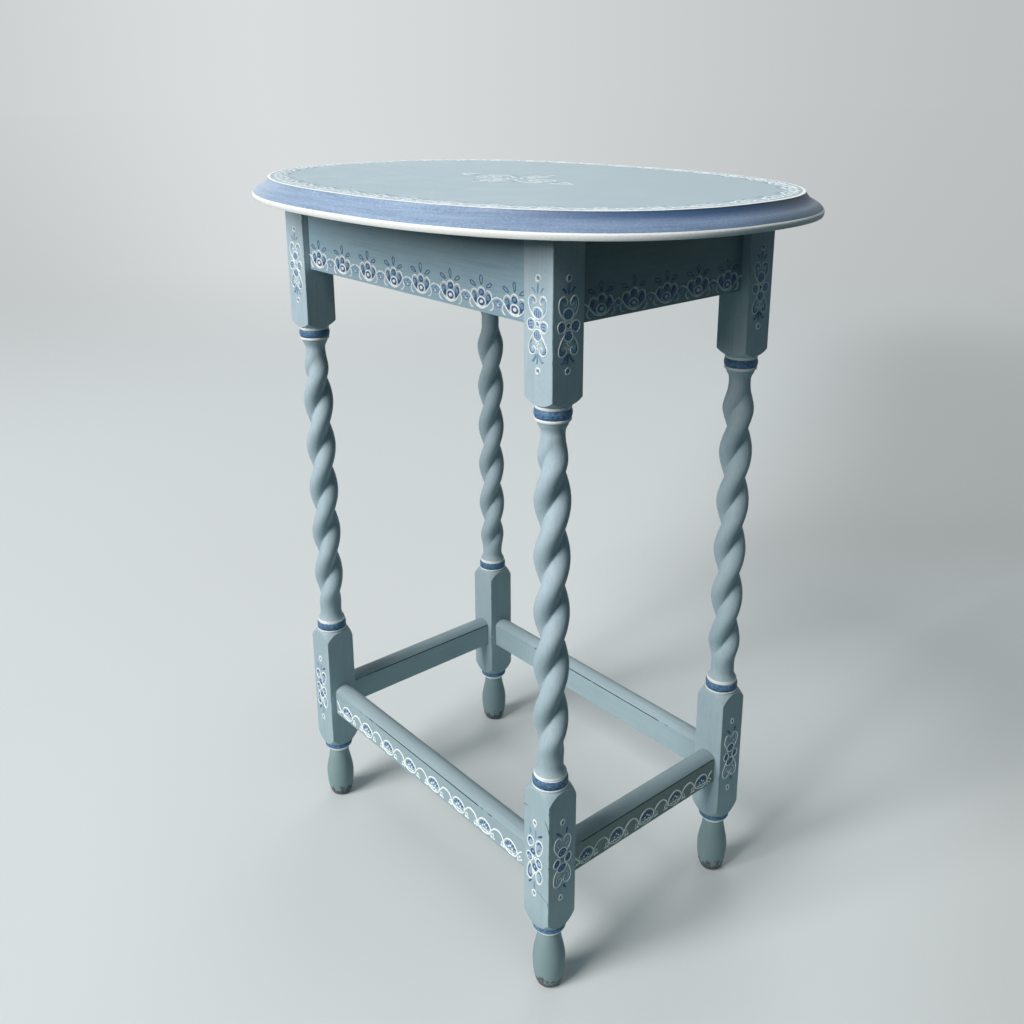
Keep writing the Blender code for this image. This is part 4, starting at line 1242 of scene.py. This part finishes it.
def make_camera():
    data = bpy.data.cameras.new("camera")
    camera = new_object("camera", data)
    cos_pitch = cos(CAMERA_PITCH)
    ahead = Vector((cos_pitch * cos(CAMERA_YAW), cos_pitch * sin(CAMERA_YAW), sin(CAMERA_PITCH)))
    right = Vector(CAMERA_RIGHT)
    up = right.cross(ahead)
    c, s = cos(CAMERA_ROLL), sin(CAMERA_ROLL)
    right, up = c * right + s * up, c * up - s * right
    turned = Matrix((right, up, -ahead)).transposed().to_4x4()
    camera.matrix_world = Matrix.Translation(CAMERA_PLACE) @ turned
    data.sensor_width = SENSOR
    data.lens = FOCAL_PIXELS * SENSOR / PICTURE
    data.shift_y = (OPTICAL_AXIS_ROW - PICTURE / 2) / PICTURE
    bpy.context.scene.camera = camera


def add_softbox(name, place, target, width, height, power, colour):
    data = bpy.data.lights.new(name, "AREA")
    data.shape = "RECTANGLE"
    data.size, data.size_y = width, height
    data.energy = power
    data.color = colour
    lamp = new_object(name, data)
    lamp.location = place
    lamp.rotation_mode = "QUATERNION"
    lamp.rotation_quaternion = (Vector(target) - Vector(place)).to_track_quat("-Z", "Y")
    lamp.visible_camera = False


def start_empty_tree(owner):
    owner.use_nodes = True
    owner.node_tree.nodes.clear()
    return owner.node_tree


def seen_ray(tree):
    """1 on the rays that the camera sees by, straight or mirrored, and 0 on the rays that only light."""
    rays = add_node(tree, "LightPath").outputs
    return maths("MAXIMUM", rays["Is Camera Ray"], rays["Is Glossy Ray"])


def background_colour(direction):
    """Pale backdrop that gets a little darker to both sides, most of all away from the light."""
    heading = add_node(direction.id_data, "VectorMath", {0: direction}, operation="NORMALIZE").outputs[0]
    side = reach_along(heading, CAMERA_RIGHT)
    return lay_over(linear(BACKDROP_MIDDLE), (remap(side, -0.3, 0.55), BACKDROP_RIGHT),
                    (remap(side, -0.6, -0.2, 1, 0), BACKDROP_LEFT))


def make_floor():
    bm = bmesh.new()
    bmesh.ops.create_grid(bm, x_segments=2, y_segments=2, size=FLOOR_REACH)
    floor = new_object("floor", mesh_from(bm, "floor"))
    material = bpy.data.materials.new("pale_paper_floor")
    tree = start_empty_tree(material)
    place = add_node(tree, "TexCoord").outputs["Object"]
    seen = seen_ray(tree)
    # A painted shadow of the table top darkens the paper a little on the side away from the light
    side, back = reach_along(place, TO_FLOOR_RIGHT), reach_along(place, TO_FLOOR_BACK)
    floor_painted_shadow = maths("MULTIPLY", remap(side, -0.26, 0.36, 0, 0.86), remap(back, 0.35, 0.85))
    floor_painted_shadow = maths("MULTIPLY", floor_painted_shadow, remap(back, 2.1, 3.3, 1, 0))
    floor_painted_shadow = maths("MAXIMUM", floor_painted_shadow, remap(side, 0.36, 0.62, 0, 0.5))
    paper = add_node(tree, "BsdfDiffuse", {"Color": lay_over(linear(PAPER), (floor_painted_shadow, SHADED_PAPER))})
    distance = add_node(tree, "VectorMath", {0: place}, operation="LENGTH").outputs["Value"]
    bounce = lay_over(linear(BOUNCE_NEAR), (remap(distance, 0.28, 0.62), BOUNCE_FAR))
    dull = add_node(tree, "BsdfDiffuse", {"Color": bounce})
    lit = add_node(tree, "MixShader", {0: seen, 1: dull.outputs[0], 2: paper.outputs[0]})
    far = add_node(tree, "Emission", {"Color": background_colour(place), "Strength": 1.0})
    fade = maths("MULTIPLY", remap(distance, 1.6, 4.2), seen)
    mixed = add_node(tree, "MixShader", {0: fade, 1: lit.outputs[0], 2: far.outputs[0]})
    add_node(tree, "OutputMaterial", {0: mixed.outputs[0]})
    floor.data.materials.append(material)


def make_world():
    world = bpy.data.worlds.new("studio")
    bpy.context.scene.world = world
    tree = start_empty_tree(world)
    direction = add_node(tree, "TexCoord").outputs["Generated"]
    fill = add_node(tree, "Background", {"Color": FILL, "Strength": FILL_STRENGTH})
    backdrop = add_node(tree, "Background", {"Color": background_colour(direction), "Strength": 1.0})
    mixed = add_node(tree, "MixShader", {0: seen_ray(tree), 1: fill.outputs[0], 2: backdrop.outputs[0]})
    add_node(tree, "OutputWorld", {0: mixed.outputs[0]})


for leftover in list(bpy.data.objects):
    if leftover.type in {"CAMERA", "LIGHT"} or leftover.name == "Cube":
        bpy.data.objects.remove(leftover, do_unlink=True)
make_camera()
make_floor()
make_world()
add_softbox("tall_window_light", (-0.8, -10.02, 7.0), (0, 0, 0.45), 5.4, 9.2, 1810, (1.0, 0.995, 0.985))
add_softbox("soft_overhead_light", (-0.4, 0.2, 6.2), (0, 0, 0.6), 3.6, 3.6, 92, (1.0, 0.995, 0.99))
add_softbox("soft_light_from_behind", (-3.4, 4.2, 3.6), (0, 0, 0.5), 4.0, 4.0, 58, (0.98, 0.99, 1.0))
add_softbox("high_fill_from_right", (2.9, -0.5, 3.2), (0.2, 0, 0.3), 1.6, 1.6, 7, (0.85, 1.0, 1.0))

bpy.context.scene.view_settings.view_transform = "Standard"
